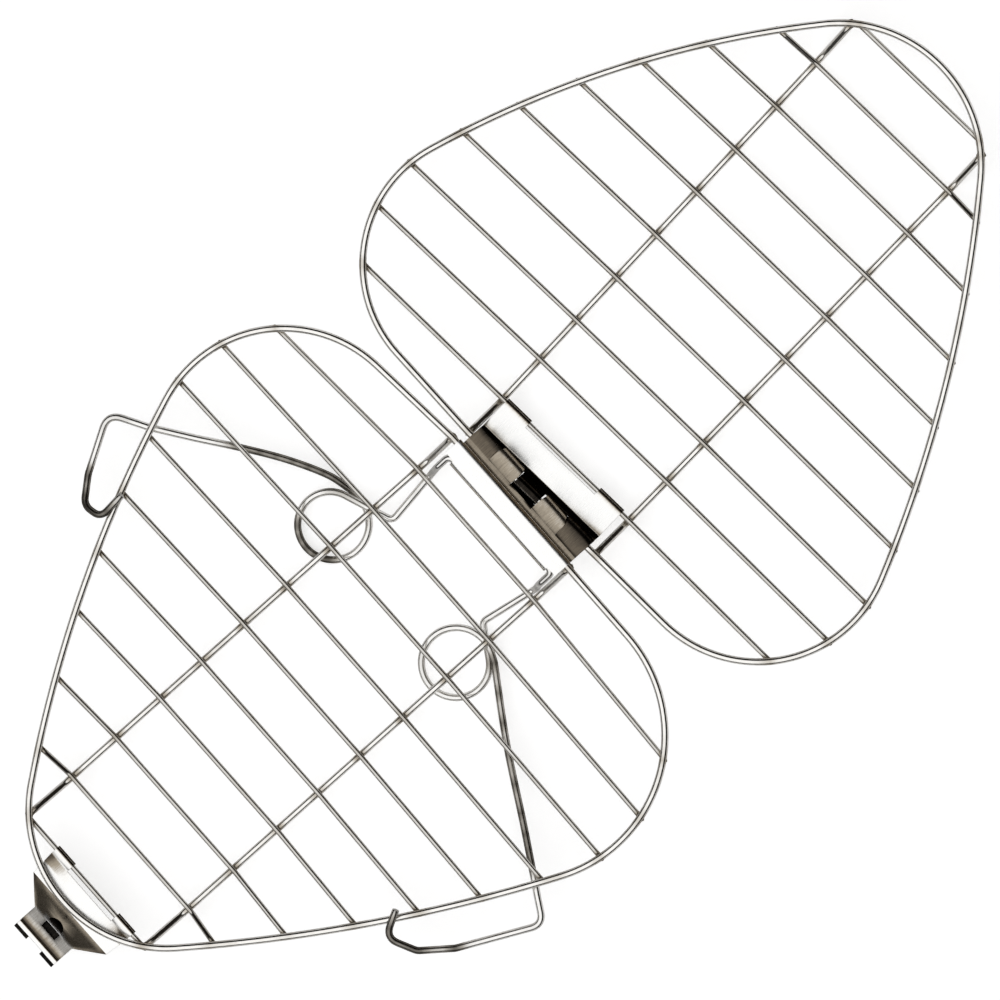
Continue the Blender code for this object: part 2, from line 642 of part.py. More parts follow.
def main():
    hinge_turn = Matrix.Rotation(SKEW / 2, 4, "Z") @ Matrix.Rotation(-DROOP, 4, "X")
    fold_axis = empty("fold_axis", PARTS, GRATE, (0.0, LINK, 0.0), hinge_turn)
    upper_frame = empty("upper_frame", PARTS, fold_axis, (0.0, 0.0, 0.0), Matrix.Rotation(SKEW / 2, 4, "Z"))
    slip_frame = empty("slip_frame", PARTS, upper_frame, (SIDE_SLIP, 0.0, 0.0))
    bail_axis = empty("bail_axis", PARTS, GRATE, (0.0, BAIL_LINE, 0.0))
    left_axis = empty("left_coil_axis", PARTS, bail_axis, (LEFT_COIL[0], LEFT_COIL[1] - BAIL_LINE, 0.0))
    right_axis = empty("right_coil_axis", PARTS, bail_axis, (RIGHT_COIL[0], RIGHT_COIL[1] - BAIL_LINE, 0.0))
    catch_axis = empty("catch_axis", PARTS, GRATE, (0.0, -CATCH_ROW, CROSS_END_Z))
    wire_half("lower", Half(LOWER_LENGTH, LOWER_APEX_RADIUS, LOWER_APEX_SLIP, (LOWER_LEFT_SIDE, LOWER_RIGHT_SIDE),
                            LOWER_ROWS, LOWER_SWEEP, LOWER_RAIL_SPREAD), -1, GRATE)
    wire_half("upper", Half(UPPER_LENGTH, UPPER_APEX_RADIUS, UPPER_APEX_SLIP, (UPPER_LEFT_SIDE, UPPER_RIGHT_SIDE),
                            UPPER_ROWS, UPPER_SWEEP, UPPER_RAIL_SPREAD), 1, slip_frame)
    hinge_leaf(GRATE)
    hinge_plate(slip_frame)
    spring_bail(bail_axis, left_axis, right_axis)
    apex_catch(catch_axis)


clear_scene()
PARTS = new_collection("campfire_grill_grate")
CUTTERS = new_collection("cutters")
BRIGHT = metal("bright_drawn_stainless_wire", (0.62, 0.61, 0.59), 0.16)
BRUSHED = metal("brushed_stainless_sheet", (0.44, 0.41, 0.37), 0.32)
GRATE = empty("grate_frame", PARTS, None, (-LEAF_CENTRE, -BAIL_LINE / 2, -(CURL_R + SHEET / 2)))
CUTTER = floor_cutter()
main()
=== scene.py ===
"""Looks of the folding campfire grill grate: drawn wire, welds, a bent sheet hinge and the apex catch."""
from dataclasses import dataclass
from math import acos, asin, atan2, cos, degrees, hypot, pi, radians, sin, sqrt

import bpy
import numpy as np
from mathutils import Matrix, Vector

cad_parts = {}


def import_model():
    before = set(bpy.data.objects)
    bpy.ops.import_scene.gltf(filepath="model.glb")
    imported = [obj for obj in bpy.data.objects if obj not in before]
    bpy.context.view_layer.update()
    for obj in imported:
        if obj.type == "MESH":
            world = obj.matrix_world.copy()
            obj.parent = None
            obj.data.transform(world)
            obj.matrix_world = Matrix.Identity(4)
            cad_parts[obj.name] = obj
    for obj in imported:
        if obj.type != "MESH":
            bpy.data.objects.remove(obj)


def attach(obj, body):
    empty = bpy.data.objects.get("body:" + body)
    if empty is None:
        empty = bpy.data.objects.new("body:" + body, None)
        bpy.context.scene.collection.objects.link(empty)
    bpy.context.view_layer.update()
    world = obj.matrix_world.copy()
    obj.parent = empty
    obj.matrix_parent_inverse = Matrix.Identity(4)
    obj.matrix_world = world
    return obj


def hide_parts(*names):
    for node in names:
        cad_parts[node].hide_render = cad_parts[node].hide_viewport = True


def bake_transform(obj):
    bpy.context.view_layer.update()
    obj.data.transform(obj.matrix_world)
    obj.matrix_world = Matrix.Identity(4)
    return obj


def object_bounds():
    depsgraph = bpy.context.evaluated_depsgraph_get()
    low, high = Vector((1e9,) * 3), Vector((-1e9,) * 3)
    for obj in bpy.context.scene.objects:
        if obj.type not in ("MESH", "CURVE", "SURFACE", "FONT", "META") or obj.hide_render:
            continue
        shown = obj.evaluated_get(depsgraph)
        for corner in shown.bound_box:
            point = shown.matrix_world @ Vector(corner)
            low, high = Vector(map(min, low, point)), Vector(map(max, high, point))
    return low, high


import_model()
cad_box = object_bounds()
scene = bpy.context.scene
scene.view_settings.view_transform = "Standard"

MM = 0.001

# Wire and sheet stock
RIM_WIRE = 3.0 * MM
RAIL_WIRE = 2.8 * MM
CROSS_WIRE = 2.0 * MM
SPRING_WIRE = 3.0 * MM
SHEET = 0.7 * MM
WELD_GAP = 0.3 * MM
CURL_PLAY = 0.2 * MM

# Rims: straight at the hinge, then on each side a flank, a corner arc, a side arc and half of the apex arc.
# The two hand-bent loops differ a little, so each has its own sizes; a side is (half width, corner radius,
# side radius, flank angle).
STRAIGHT_HALF = 35.5 * MM
LOWER_LENGTH = 246.9 * MM
LOWER_APEX_RADIUS = 56.0 * MM
LOWER_APEX_SLIP = 0.0 * MM
LOWER_LEFT_SIDE = (127.8 * MM, 55.3 * MM, 551.0 * MM, radians(5.0))
LOWER_RIGHT_SIDE = (132.1 * MM, 60.6 * MM, 711.0 * MM, radians(0.4))
UPPER_LENGTH = 239.8 * MM
UPPER_APEX_RADIUS = 57.2 * MM
UPPER_APEX_SLIP = -2.2 * MM
UPPER_LEFT_SIDE = (128.5 * MM, 53.4 * MM, 433.0 * MM, radians(3.8))
UPPER_RIGHT_SIDE = (129.7 * MM, 54.4 * MM, 552.0 * MM, radians(-0.7))

# Wires inside the rim
DISH_DEPTH = 12.0 * MM
RAIL_SPACING = 71.0 * MM
LOWER_RAIL_SPREAD = (0.6 * MM, 0.2 * MM)
UPPER_RAIL_SPREAD = (2.8 * MM, 0.7 * MM)
RAIL_RISE_RUN = 16.0 * MM
ROWS = 10
ROW_PITCH = 23.8 * MM
LOWER_FIRST_ROW = 21.2 * MM
LOWER_UNEVEN = (0.0, 0.9, 0.3, 0.8, 0.7, 0.2, -0.6, 0.1, 0.8, -0.2)
LOWER_SWEEP = (3.4 * MM, 1.6 * MM)
UPPER_FIRST_ROW = 18.2 * MM
UPPER_UNEVEN = (0.0, -1.6, -3.7, -3.7, -3.8, -3.7, -4.1, -3.9, -4.0, -3.7)
UPPER_SWEEP = (1.0 * MM, 0.0)
BEND_OUTSIDE_RAIL = 2.5 * MM
WIRE_BEND_RADIUS = 6.0 * MM

# How finely bends and arcs are divided, the least half tangent of a bend, and the share of a straight run
# that a bend may take
WIRE_BEND_STEPS = 8
CORNER_STEPS = 40
ARC_STEPS = 24
SHARPEST_BEND = 0.05
BEND_SHARE = 0.45

# Hinge
LINK = 8.8 * MM
SKEW = radians(4.4)
SIDE_SLIP = 3.0 * MM
LEAF_CENTRE = 0.9 * MM
LEAF_HALF_WIDTH = 33.4 * MM
LEAF_CURL_INSET = 4.6 * MM
LOBES = ((-18.7 * MM, -5.6 * MM), (7.5 * MM, 21.7 * MM))
LEAF_SLIT = 0.03 * MM
LEAF_END_INSET = 1.8 * MM
POCKET_START = 5.2 * MM
LOBE_FAR = 13.5 * MM
LOBE_RISE = 2.95 * MM
LOBE_CORNER = 1.3 * MM
LEFT_END_FAR = 11.7 * MM
RIGHT_END_FAR = 15.2 * MM
RIGHT_END_RISE = 3.3 * MM
RIGHT_END_CUT = 0.8 * MM
PLATE_OFFSET = -1.2 * MM
PLATE_HALF_WIDTH = 32.6 * MM
PLATE_TAB = 13.1 * MM
PLATE_FOLD = 4.9 * MM
PLATE_FOLD_RADIUS = 1.2 * MM
PLATE_LEFT_REACH = 6.9 * MM
PLATE_RIGHT_REACH = 5.7 * MM
ARM_GAP = 0.35 * MM

# Spring bail
BAIL_LINE = -5.8 * MM
BAIL_CENTRE = 0.9 * MM
LEG_HALF_SPACING = 31.5 * MM
BAIL_BEND_RADIUS = 3.2 * MM
COIL_RADIUS = 13.3 * MM
COIL_GROWTH = 2.1 * MM
COIL_LAYER = 3.9 * MM
COIL_POINTS = 72
LEFT_COIL = (-42.4 * MM, -63.9 * MM)
RIGHT_COIL = (33.8 * MM, -63.6 * MM)
LEFT_LEG_FOOT = (-27.0 * MM, -43.9 * MM)
RIGHT_LEG_FOOT = (28.0 * MM, -44.3 * MM)
LEG_LEVEL_AT = 19.0 * MM
LEG_DROP_RUN = 2.4
LEFT_ARM_EXIT = radians(460)
RIGHT_ARM_EXIT = radians(-298)
ARM_UNDER_RIM = 5.7 * MM
HOOK_HEIGHT = 4.2 * MM
FLAT_CUT = 0.5 * MM
# Points in mm of each arm as (x, y, z), then of its hook as (x, y, share of the rise over the rim)
LEFT_ARM_ROUTE = ((-58.6, -51.5, -18.4), (-74.3, -59.4, -14.6), (-89.9, -69.6, -11.4), (-105.4, -80.8, -8.4))
LEFT_HOOK = ((-121.1, -91.6, 0.0), (-136.4, -100.5, 0.0), (-123.2, -122.9, 0.16), (-114.8, -132.0, 0.5),
             (-106.2, -129.6, 0.9), (-107.4, -116.6, 1.0))
RIGHT_ARM_ROUTE = ((71.7, -69.0, -14.4), (99.7, -84.4, -9.9), (114.6, -92.8, -7.3))
RIGHT_HOOK = ((126.6, -99.8, 0.0), (136.6, -105.6, 0.0), (120.2, -138.9, 0.16), (110.6, -150.9, 0.5),
              (98.2, -156.4, 0.9), (92.4, -145.2, 1.0))

# Apex catch, curled on the last cross wire of the lower half; distances run outwards from that wire
CATCH_CENTRE = 5.2 * MM
CATCH_PLAY = 0.15 * MM
CATCH_HALF_WIDTH = 23.4 * MM
CATCH_TAB = 10.0 * MM
CATCH_SHOULDER = 13.6 * MM
CATCH_SHOULDER_HALF = 22.4 * MM
CATCH_FOLD = 21.8 * MM
CATCH_NOSE_HALF = 11.4 * MM
CATCH_LIFT = 4.2 * MM
CATCH_BARREL = 7.8 * MM
CATCH_BARREL_RISE = 4.4 * MM
CATCH_LIP = 3.4 * MM
CATCH_TOOTH = 1.3 * MM
CATCH_WINDOW_HALF = 4.0 * MM
CATCH_SLOT = 2.6 * MM
CATCH_BRIDGE = 0.8 * MM

# Sizes and heights that follow from those
RIM_R = RIM_WIRE / 2
RAIL_R = RAIL_WIRE / 2
CROSS_R = CROSS_WIRE / 2
SPRING_R = SPRING_WIRE / 2
CROSS_END_Z = -(RIM_R + CROSS_R + WELD_GAP)
RAIL_END_Z = -(RIM_R + RAIL_R + WELD_GAP)
CROSS_Z = -DISH_DEPTH
RAIL_Z = CROSS_Z - CROSS_R - RAIL_R - WELD_GAP
COIL_TOP_Z = RAIL_Z - RAIL_R - SPRING_R - WELD_GAP
COIL_LOW_Z = COIL_TOP_Z - COIL_LAYER
FLOOR_Z = COIL_LOW_Z - SPRING_R + FLAT_CUT
CURL_R = RIM_R + CURL_PLAY + SHEET / 2
LOWER_ROWS = [LOWER_FIRST_ROW + i * ROW_PITCH + off * MM for i, off in enumerate(LOWER_UNEVEN)]
UPPER_ROWS = [UPPER_FIRST_ROW + i * ROW_PITCH + off * MM for i, off in enumerate(UPPER_UNEVEN)]
CATCH_ROW = LOWER_ROWS[-1]
CATCH_WEB_Z = -CROSS_END_Z - RIM_R - WELD_GAP - SHEET
CATCH_NOSE_Z = CATCH_WEB_Z + CATCH_LIFT
CATCH_BRIDGE_START = CATCH_FOLD - CATCH_BRIDGE
DROOP = asin((RAIL_Z - RAIL_R - FLOOR_Z) / (UPPER_ROWS[-2] + RAIL_R))


@dataclass
class Half:
    """One wire half in its own frame, the straight stretch on X and the apex towards +Y.

    Sides, sweep and spread each have a left and a right value; rows are distances from the hinge.
    """

    length: float
    apex_radius: float
    apex_slip: float
    sides: tuple
    rows: list
    sweep: tuple
    spread: tuple

    def outline(self, side):
        """The rim's centre line on one side (-1 left, +1 right), from the hinge to the apex, as (x, y)."""
        half_width, corner_radius, side_radius, flank = self.sides[side > 0]
        slip = side * self.apex_slip
        straight = STRAIGHT_HALF - slip
        along = (cos(flank), sin(flank))
        run = (half_width - slip - corner_radius - straight + corner_radius * along[1]) / along[0]
        foot = (straight + run * along[0], run * along[1])
        corner = (foot[0] - corner_radius * along[1], foot[1] + corner_radius * along[0])
        apex = (0.0, self.length - self.apex_radius)
        flat_arc = tangent_circle(corner, corner_radius, apex, self.apex_radius, side_radius)
        first = atan2(corner[1] - flat_arc[1], corner[0] - flat_arc[0])
        last = atan2(apex[1] - flat_arc[1], apex[0] - flat_arc[0])
        points = [(straight, 0.0)]
        points += arc_points(corner, corner_radius, flank - pi / 2, first, CORNER_STEPS)
        points += arc_points(flat_arc, side_radius, first, last, ARC_STEPS)[1:]
        points += arc_points(apex, self.apex_radius, last, pi / 2, ARC_STEPS)[1:]
        return [(side * (x + slip), y) for x, y in points]

    def edge_at(self, side, distance):
        """X of the rim on one side at a distance from the straight stretch."""
        points = self.outline(side)
        for (x0, y0), (x1, y1) in zip(points[1:], points[2:]):
            if y0 <= distance <= y1:
                return x0 + (x1 - x0) * (distance - y0) / (y1 - y0)
        return 0.0

    def length_at(self, offset):
        """Y of the rim on its apex side at an offset from the long axis."""
        points = self.outline(1 if offset > 0 else -1)[::-1]
        for (x0, y0), (x1, y1) in zip(points, points[1:]):
            if abs(x0) <= abs(offset) <= abs(x1):
                return y0 + (y1 - y0) * (offset - x0) / (x1 - x0)
        return self.length


def tangent_circle(first, first_radius, second, second_radius, radius):
    """Centre of the big circle that holds both small circles against its inside, on the far side of them."""
    gap = (second[0] - first[0], second[1] - first[1])
    span = hypot(*gap)
    reach_1 = radius - first_radius
    reach_2 = radius - second_radius
    along = (reach_1 ** 2 - reach_2 ** 2 + span ** 2) / (2 * span)
    across = sqrt(reach_1 ** 2 - along ** 2)
    unit = (gap[0] / span, gap[1] / span)
    return (first[0] + unit[0] * along - unit[1] * across, first[1] + unit[1] * along + unit[0] * across)


def arc_points(centre, radius, start, end, steps):
    """Points of an arc, from one angle to another in radians."""
    turns = [start + (end - start) * i / steps for i in range(steps + 1)]
    return [(centre[0] + radius * cos(a), centre[1] + radius * sin(a)) for a in turns]


def rounded(points, radius, steps=4):
    """A chain of straight runs whose corners are rounded as bent wire is."""
    corners = [Vector(p) for p in points]
    route = [corners[0]]
    for before, corner, after in zip(corners, corners[1:], corners[2:]):
        back = (before - corner).normalized()
        forth = (after - corner).normalized()
        turn = back.angle(forth)
        cut = min(radius / max(sin(turn / 2) / cos(turn / 2), SHARPEST_BEND),
                  (before - corner).length * BEND_SHARE, (after - corner).length * BEND_SHARE)
        start = corner + back * cut
        end = corner + forth * cut
        for i in range(steps + 1):
            t = i / steps
            route.append(start * (1 - t) ** 2 + corner * 2 * t * (1 - t) + end * t ** 2)
    route.append(corners[-1])
    return route


def flowing(points, steps=3):
    """A smooth curve through the points, as a long springy wire takes."""
    p = [Vector(q) for q in points]
    p = [2 * p[0] - p[1]] + p + [2 * p[-1] - p[-2]]
    route = []
    for a, b, c, d in zip(p, p[1:], p[2:], p[3:]):
        for i in range(steps):
            t = i / steps
            route.append(b + (c - a) * (t / 2) + (2 * a - 5 * b + 4 * c - d) * (t * t / 2)
                         + (3 * b - a - 3 * c + d) * (t ** 3 / 2))
    route.append(p[-2])
    return route


def cross_wire_points(half, row):
    """One cross wire: flat over the rails, then up on both sides to the underside of the rim."""
    away = half.rows[row]
    if row == ROWS - 1:
        return [(half.edge_at(side, away), away, CROSS_END_Z) for side in (-1, 1)]
    sweep = half.sweep if row == 0 else (0.0, 0.0)
    bend = RAIL_SPACING / 2 + BEND_OUTSIDE_RAIL
    corners = [(half.edge_at(-1, away + sweep[0]), away + sweep[0], CROSS_END_Z), (-bend, away, CROSS_Z),
               (bend, away, CROSS_Z), (half.edge_at(1, away + sweep[1]), away + sweep[1], CROSS_END_Z)]
    return rounded(corners, WIRE_BEND_RADIUS, WIRE_BEND_STEPS)


def rail_points(half, side):
    """One rail, from the rim's straight stretch down under the dish and up again to the apex arc."""
    near = side * RAIL_SPACING / 2
    far = near + side * half.spread[side > 0]
    corners = [(near, 0.0, RAIL_END_Z), (near, RAIL_RISE_RUN, RAIL_Z),
               (far, half.rows[-2] + 2 * CROSS_WIRE, RAIL_Z), (far, half.length_at(far), RAIL_END_Z)]
    return rounded(corners, WIRE_BEND_RADIUS, WIRE_BEND_STEPS)


def turn_round(centre, radius, start, end, steps):
    """Section points (y, z) of sheet bent round a centre, from one angle to another in degrees."""
    return arc_points(centre, radius, radians(start), radians(end), steps)


def pocket_profile(far, rise, shares):
    """Section points (y, z) beyond the pocket's start; shares are of the far distance and of the height."""
    return [(POCKET_START + (far - POCKET_START) * a, rise * b) for a, b in shares]


def coil_points(centre, start, turn, low, high):
    """One loop of the spring, growing in radius as it climbs or sinks; angles in radians, seen from above."""
    steps = max(2, round(COIL_POINTS * abs(turn) / (2 * pi)))
    points = []
    for i in range(steps + 1):
        t = i / steps
        angle = start + turn * t
        radius = COIL_RADIUS + COIL_GROWTH * t
        height = low + (high - low) * t
        points.append(Vector((centre[0] + radius * cos(angle), centre[1] + radius * sin(angle), height)))
    return points


def coil_entry(centre, foot, hand):
    """Angle at which a straight run from the foot meets the coil; hand is +1 anticlockwise, -1 clockwise."""
    away = (foot[0] - centre[0], foot[1] - centre[1])
    return atan2(away[1], away[0]) + hand * acos(COIL_RADIUS / hypot(*away))


def bail_leg(side, foot, level):
    """From the end of the bail's middle to the leg's foot, in the bail's order."""
    x = BAIL_CENTRE + side * LEG_HALF_SPACING
    return [(x, BAIL_LINE, 0.0), (x, BAIL_LINE - LEG_DROP_RUN * BAIL_BEND_RADIUS, -RIM_WIRE),
            (x, -LEG_LEVEL_AT, level), (foot[0], foot[1], level)]


# Where the lower half, the upper half and the catch stand in the world
ROOT = Matrix.Translation((-LEAF_CENTRE, -BAIL_LINE / 2, -(CURL_R + SHEET / 2)))
SLIP_FRAME = (ROOT @ Matrix.Translation((0, LINK, 0)) @ Matrix.Rotation(SKEW / 2, 4, "Z")
              @ Matrix.Rotation(-DROOP, 4, "X") @ Matrix.Rotation(SKEW / 2, 4, "Z")
              @ Matrix.Translation((SIDE_SLIP, 0, 0)))
CATCH_FRAME = ROOT @ Matrix.Translation((0, -CATCH_ROW, CROSS_END_Z))


def linear(code):
    """sRGB hex to linear colour."""
    parts = [int(code[i:i + 2], 16) / 255 for i in (1, 3, 5)]
    return (*(c / 12.92 if c <= 0.04045 else ((c + 0.055) / 1.055) ** 2.4 for c in parts), 1.0)


def node(tree, kind, inputs=(), **settings):
    """Adds a node with its settings; inputs are name or number and value, or another node's output."""
    made = tree.nodes.new("ShaderNode" + kind)
    for key, value in settings.items():
        setattr(made, key, value)
    for key, value in inputs:
        if isinstance(value, bpy.types.NodeSocket):
            tree.links.new(value, made.inputs[key])
        else:
            made.inputs[key].default_value = value
    return made


def ramp(tree, fac, stops):
    """A colour ramp; stops are position and hex colour."""
    made = node(tree, "ValToRGB", [("Fac", fac)])
    line = made.color_ramp.elements
    line[0].position, line[1].position = stops[0][0], stops[-1][0]
    line[0].color, line[1].color = linear(stops[0][1]), linear(stops[-1][1])
    for place, code in stops[1:-1]:
        line.new(place).color = linear(code)
    return made.outputs["Color"]


def lined_metal(name, stretch, lines_per_mm, detail, grain):
    """A new metal with fine lines: the material, node tree, shader, lines, place in the world and the stain
    and painted shade.
    """
    made = bpy.data.materials.new(name)
    made.use_nodes = True
    tree = made.node_tree
    shader = tree.nodes["Principled BSDF"]
    shader.inputs["Metallic"].default_value = 1.0
    uv = node(tree, "UVMap", uv_map="along_round").outputs["UV"]
    drawn = node(tree, "Mapping", [("Vector", uv), ("Scale", stretch)]).outputs["Vector"]
    lines = node(tree, "TexNoise", [("Vector", drawn), ("Scale", lines_per_mm), ("Detail", detail),
                                    ("Roughness", grain)]).outputs["Fac"]
    place = node(tree, "TexCoord").outputs["Object"]
    painted_shade_and_stain = node(tree, "Attribute", attribute_name="painted_shade_and_stain").outputs["Fac"]
    return made, tree, shader, lines, place, painted_shade_and_stain


def lined_finish(tree, shader, lines, tones, tint, strength, depth):
    """Two tones along the lines, under the tint of stains and painted shade, and the relief of the lines."""
    clear = ramp(tree, lines, [(0.3, tones[0]), (0.7, tones[1])])
    colour = node(tree, "Mix", [("Factor", 1.0), (6, clear), (7, tint)], data_type="RGBA",
                  blend_type="MULTIPLY")
    tree.links.new(colour.outputs[2], shader.inputs["Base Color"])
    relief = node(tree, "Bump", [("Strength", strength), ("Distance", depth), ("Height", lines)])
    tree.links.new(relief.outputs["Normal"], shader.inputs["Normal"])


# Die lines of the drawn wire, about 0.1 mm wide and 50 times as long, which show only from near, and clouds
# of the polish about 11 mm across
DIE_LINES_PER_MM = 9.0
DIE_LINE_STRETCH = (0.02, 1.0, 1.0)
POLISH_CLOUDS_PER_METRE = 90.0


def wire_metal(name, tones, heat_stops, rough, line_depth):
    """Drawn stainless wire: fine lines along it, cloudy polish, duller flanks, and heat marks near welds."""
    made, tree, shader, lines, place, painted_shade_and_stain = lined_metal(name, DIE_LINE_STRETCH, DIE_LINES_PER_MM, 4.0, 0.7)
    cloud = node(tree, "TexNoise", [("Vector", place), ("Scale", POLISH_CLOUDS_PER_METRE),
                                    ("Detail", 3.0)]).outputs["Fac"]
    ragged = node(tree, "Math", [(0, cloud), (1, 0.35), (2, painted_shade_and_stain)], operation="MULTIPLY_ADD")
    spot = node(tree, "Math", [(0, ragged.outputs[0]), (1, -0.17)], operation="ADD")
    lined_finish(tree, shader, lines, tones, ramp(tree, spot.outputs[0], heat_stops), 0.35, line_depth)
    shine = node(tree, "MapRange", [("Value", cloud), ("From Min", 0.3), ("From Max", 0.7),
                                    ("To Min", rough * 0.8), ("To Max", rough * 1.35)])
    dull = node(tree, "Math", [(0, painted_shade_and_stain), (1, 0.22), (2, shine.outputs[0])], operation="MULTIPLY_ADD")
    facing = node(tree, "LayerWeight", [("Blend", 0.5)]).outputs["Facing"]
    flank = node(tree, "MapRange", [("Value", facing), ("From Min", 0.22), ("From Max", 0.5),
                                    ("To Max", 0.55)])
    gloss = node(tree, "Math", [(0, dull.outputs[0]), (1, flank.outputs[0])], operation="ADD")
    tree.links.new(gloss.outputs[0], shader.inputs["Roughness"])
    shader.inputs["Specular Tint"].default_value = linear("#000000")
    return made


# Brush lines of the sheet, 0.4 mm wide and 5 mm long, coarser than real ones so that they show, and handling
# clouds about 3 mm across
BRUSH_LINES_PER_MM = 2.4
BRUSH_LINE_STRETCH = (1.0, 0.08, 1.0)
BRUSH_LINE_DEPTH = 0.02 * MM
HANDLING_CLOUDS_PER_METRE = 300.0


def sheet_metal(name, tones, shade_and_grain_tones, rough):
    """Brushed stainless sheet: straight brush lines across the bends, handling clouds, and painted shade and
    highlights.
    """
    made, tree, shader, lines, place, painted_shade_and_stain = lined_metal(name, BRUSH_LINE_STRETCH, BRUSH_LINES_PER_MM,
                                                          6.0, 0.75)
    cloud = node(tree, "TexNoise", [("Vector", place), ("Scale", HANDLING_CLOUDS_PER_METRE), ("Detail", 4.0),
                                    ("Roughness", 0.6)]).outputs["Fac"]
    streak = node(tree, "Math", [(0, lines), (1, 0.34), (2, painted_shade_and_stain)], operation="MULTIPLY_ADD")
    patch = node(tree, "Math", [(0, cloud), (1, 0.16), (2, streak.outputs[0])], operation="MULTIPLY_ADD")
    even = node(tree, "Math", [(0, patch.outputs[0]), (1, 0.25)], operation="SUBTRACT")
    tint = ramp(tree, even.outputs[0], shade_and_grain_tones)
    lined_finish(tree, shader, lines, tones, tint, 0.4, BRUSH_LINE_DEPTH)
    shine = node(tree, "MapRange", [("Value", lines), ("From Min", 0.3), ("From Max", 0.7),
                                    ("To Min", rough * 0.8), ("To Max", rough * 1.3)])
    tree.links.new(shine.outputs[0], shader.inputs["Roughness"])
    shader.inputs["Anisotropic"].default_value = 0.5
    shader.inputs["Specular Tint"].default_value = linear("#6b655c")
    return made


# How welding and bending darken the wires, and how painted shade and handling darken the sheet, from clean
# metal to the darkest place
WELD_HEAT = [(0.0, "#ffffff"), (0.3, "#bdb6ab"), (0.6, "#625a50"), (1.0, "#2b2622")]
BEND_HEAT = [(0.0, "#ffffff"), (0.25, "#b5b1ab"), (0.5, "#65615b"), (1.0, "#2d2a27")]
NUGGET_HEAT = [(0.0, "#ffffff"), (0.5, "#9a8c78"), (1.0, "#4a423a")]
SHEET_SHADE_AND_GRAIN_TONES = [(0.0, "#ffffff"), (0.16, "#fbfaf8"), (0.4, "#a79d8e"), (0.6, "#6d6458"), (0.78, "#453f38"),
                (0.95, "#1b1917"), (1.0, "#100f0e")]

# Polished thick wire gives a bright line along its top, dark flanks, and brown patches at the welds
WIRE_STEEL = wire_metal("drawn_polished_stainless_wire", ("#eceae6", "#f8f6f2"), WELD_HEAT, 0.13, 0.01 * MM)
# The thin grill wire looks greyer than the thick wire
GRILL_STEEL = wire_metal("drawn_thin_stainless_grill_wire", ("#c2bfb9", "#dedbd6"), WELD_HEAT, 0.12,
                         0.01 * MM)
# Spring wire is bright on its runs and turns grey where it was bent
SPRING_STEEL = wire_metal("drawn_spring_steel_wire", ("#e6e4e0", "#f8f7f5"), BEND_HEAT, 0.16, 0.01 * MM)
# Weld lumps look dull, grainy and grey-brown between the bright wires
WELD_STEEL = wire_metal("resistance_weld_nugget_steel", ("#5c554c", "#a39a8c"), NUGGET_HEAT, 0.34, 0.06 * MM)
# Brushed sheet gives broad soft whites with fine lines; the brown on the curls and the near black inside the
# folds are painted shade
SHEET_STEEL = sheet_metal("brushed_bent_stainless_sheet", ("#f7f6f3", "#ffffff"), SHEET_SHADE_AND_GRAIN_TONES, 0.27)


def smooth_route(points, closed=False, longest=4 * MM):
    """The same route with long steps divided, so that shading and heat marks follow it closely."""
    line = [Vector(p) for p in points]
    if closed:
        line.append(line[0])
    out = []
    for a, b in zip(line, line[1:]):
        count = max(1, int((b - a).length / longest))
        out += [a.lerp(b, i / count) for i in range(count)]
    if not closed:
        out.append(line[-1])
    return out


# Patterns are laid out on each piece in millimetres; a facet of a wire counts as 0.7 mm round it
MM_PER_METRE = 1000
FACET = 0.7
# The domed end of a cut wire as (how far out, how wide), and where it starts; all in shares of the radius
END_DOME = ((0.06, 0.93), (0.16, 0.72), (0.2, 0.35))
END_SETBACK = 0.2


def tube(name, points, radius, finish, body, closed=False, sides=14, flat_z=None, **marks):
    """A round wire swept along world points, with domed ends; below flat_z it is pressed flat."""
    route = [Vector(p) for p in points]
    count = len(route)
    if closed:
        ahead = [(route[(i + 1) % count] - route[i - 1]).normalized() for i in range(count)]
    else:
        ahead = [(route[min(i + 1, count - 1)] - route[max(i - 1, 0)]).normalized() for i in range(count)]
    side = ahead[0].cross(Vector((0, 0, 1)))
    side = side.normalized() if side.length > 0.01 else Vector((1, 0, 0))
    rings = []
    travel = 0.0
    for i, (p, a) in enumerate(zip(route, ahead)):
        side = (side - a * side.dot(a)).normalized()
        up = a.cross(side)
        travel += (p - route[i - 1]).length if i else 0.0
        rings.append((p, side.copy(), up, travel, 1.0))
    if not closed:
        first, last = rings[0], rings[-1]
        lead = [(first[0] + ahead[0] * radius * (END_SETBACK - out), *first[1:4], size)
                for out, size in END_DOME[::-1]]
        tail = [(last[0] - ahead[-1] * radius * (END_SETBACK - out), *last[1:4], size)
                for out, size in END_DOME]
        rings[0] = (first[0] + ahead[0] * radius * END_SETBACK, *first[1:])
        rings[-1] = (last[0] - ahead[-1] * radius * END_SETBACK, *last[1:])
        rings = lead + rings + tail
    verts = []
    for p, s, u, _, size in rings:
        for k in range(sides):
            turn = 2 * pi * k / sides
            spot = p + (s * cos(turn) + u * sin(turn)) * radius * size
            if flat_z is not None:
                spot.z = max(spot.z, flat_z)
            verts.append(spot)
    faces = []
    corner_uv = []
    total = len(rings)
    for i in range(total if closed else total - 1):
        j = (i + 1) % total
        near = rings[i][3] * MM_PER_METRE
        far = (rings[j][3] if j else travel) * MM_PER_METRE
        for k in range(sides):
            n = (k + 1) % sides
            faces.append((i * sides + k, i * sides + n, j * sides + n, j * sides + k))
            corner_uv += [(near, k * FACET), (near, (k + 1) * FACET), (far, (k + 1) * FACET),
                          (far, k * FACET)]
    if not closed:
        faces += [tuple(range(sides))[::-1], tuple(range((total - 1) * sides, total * sides))]
        corner_uv += [(0.0, k * FACET) for k in range(2 * sides)]
    return solid(name, verts, faces, corner_uv, finish, body, **marks)


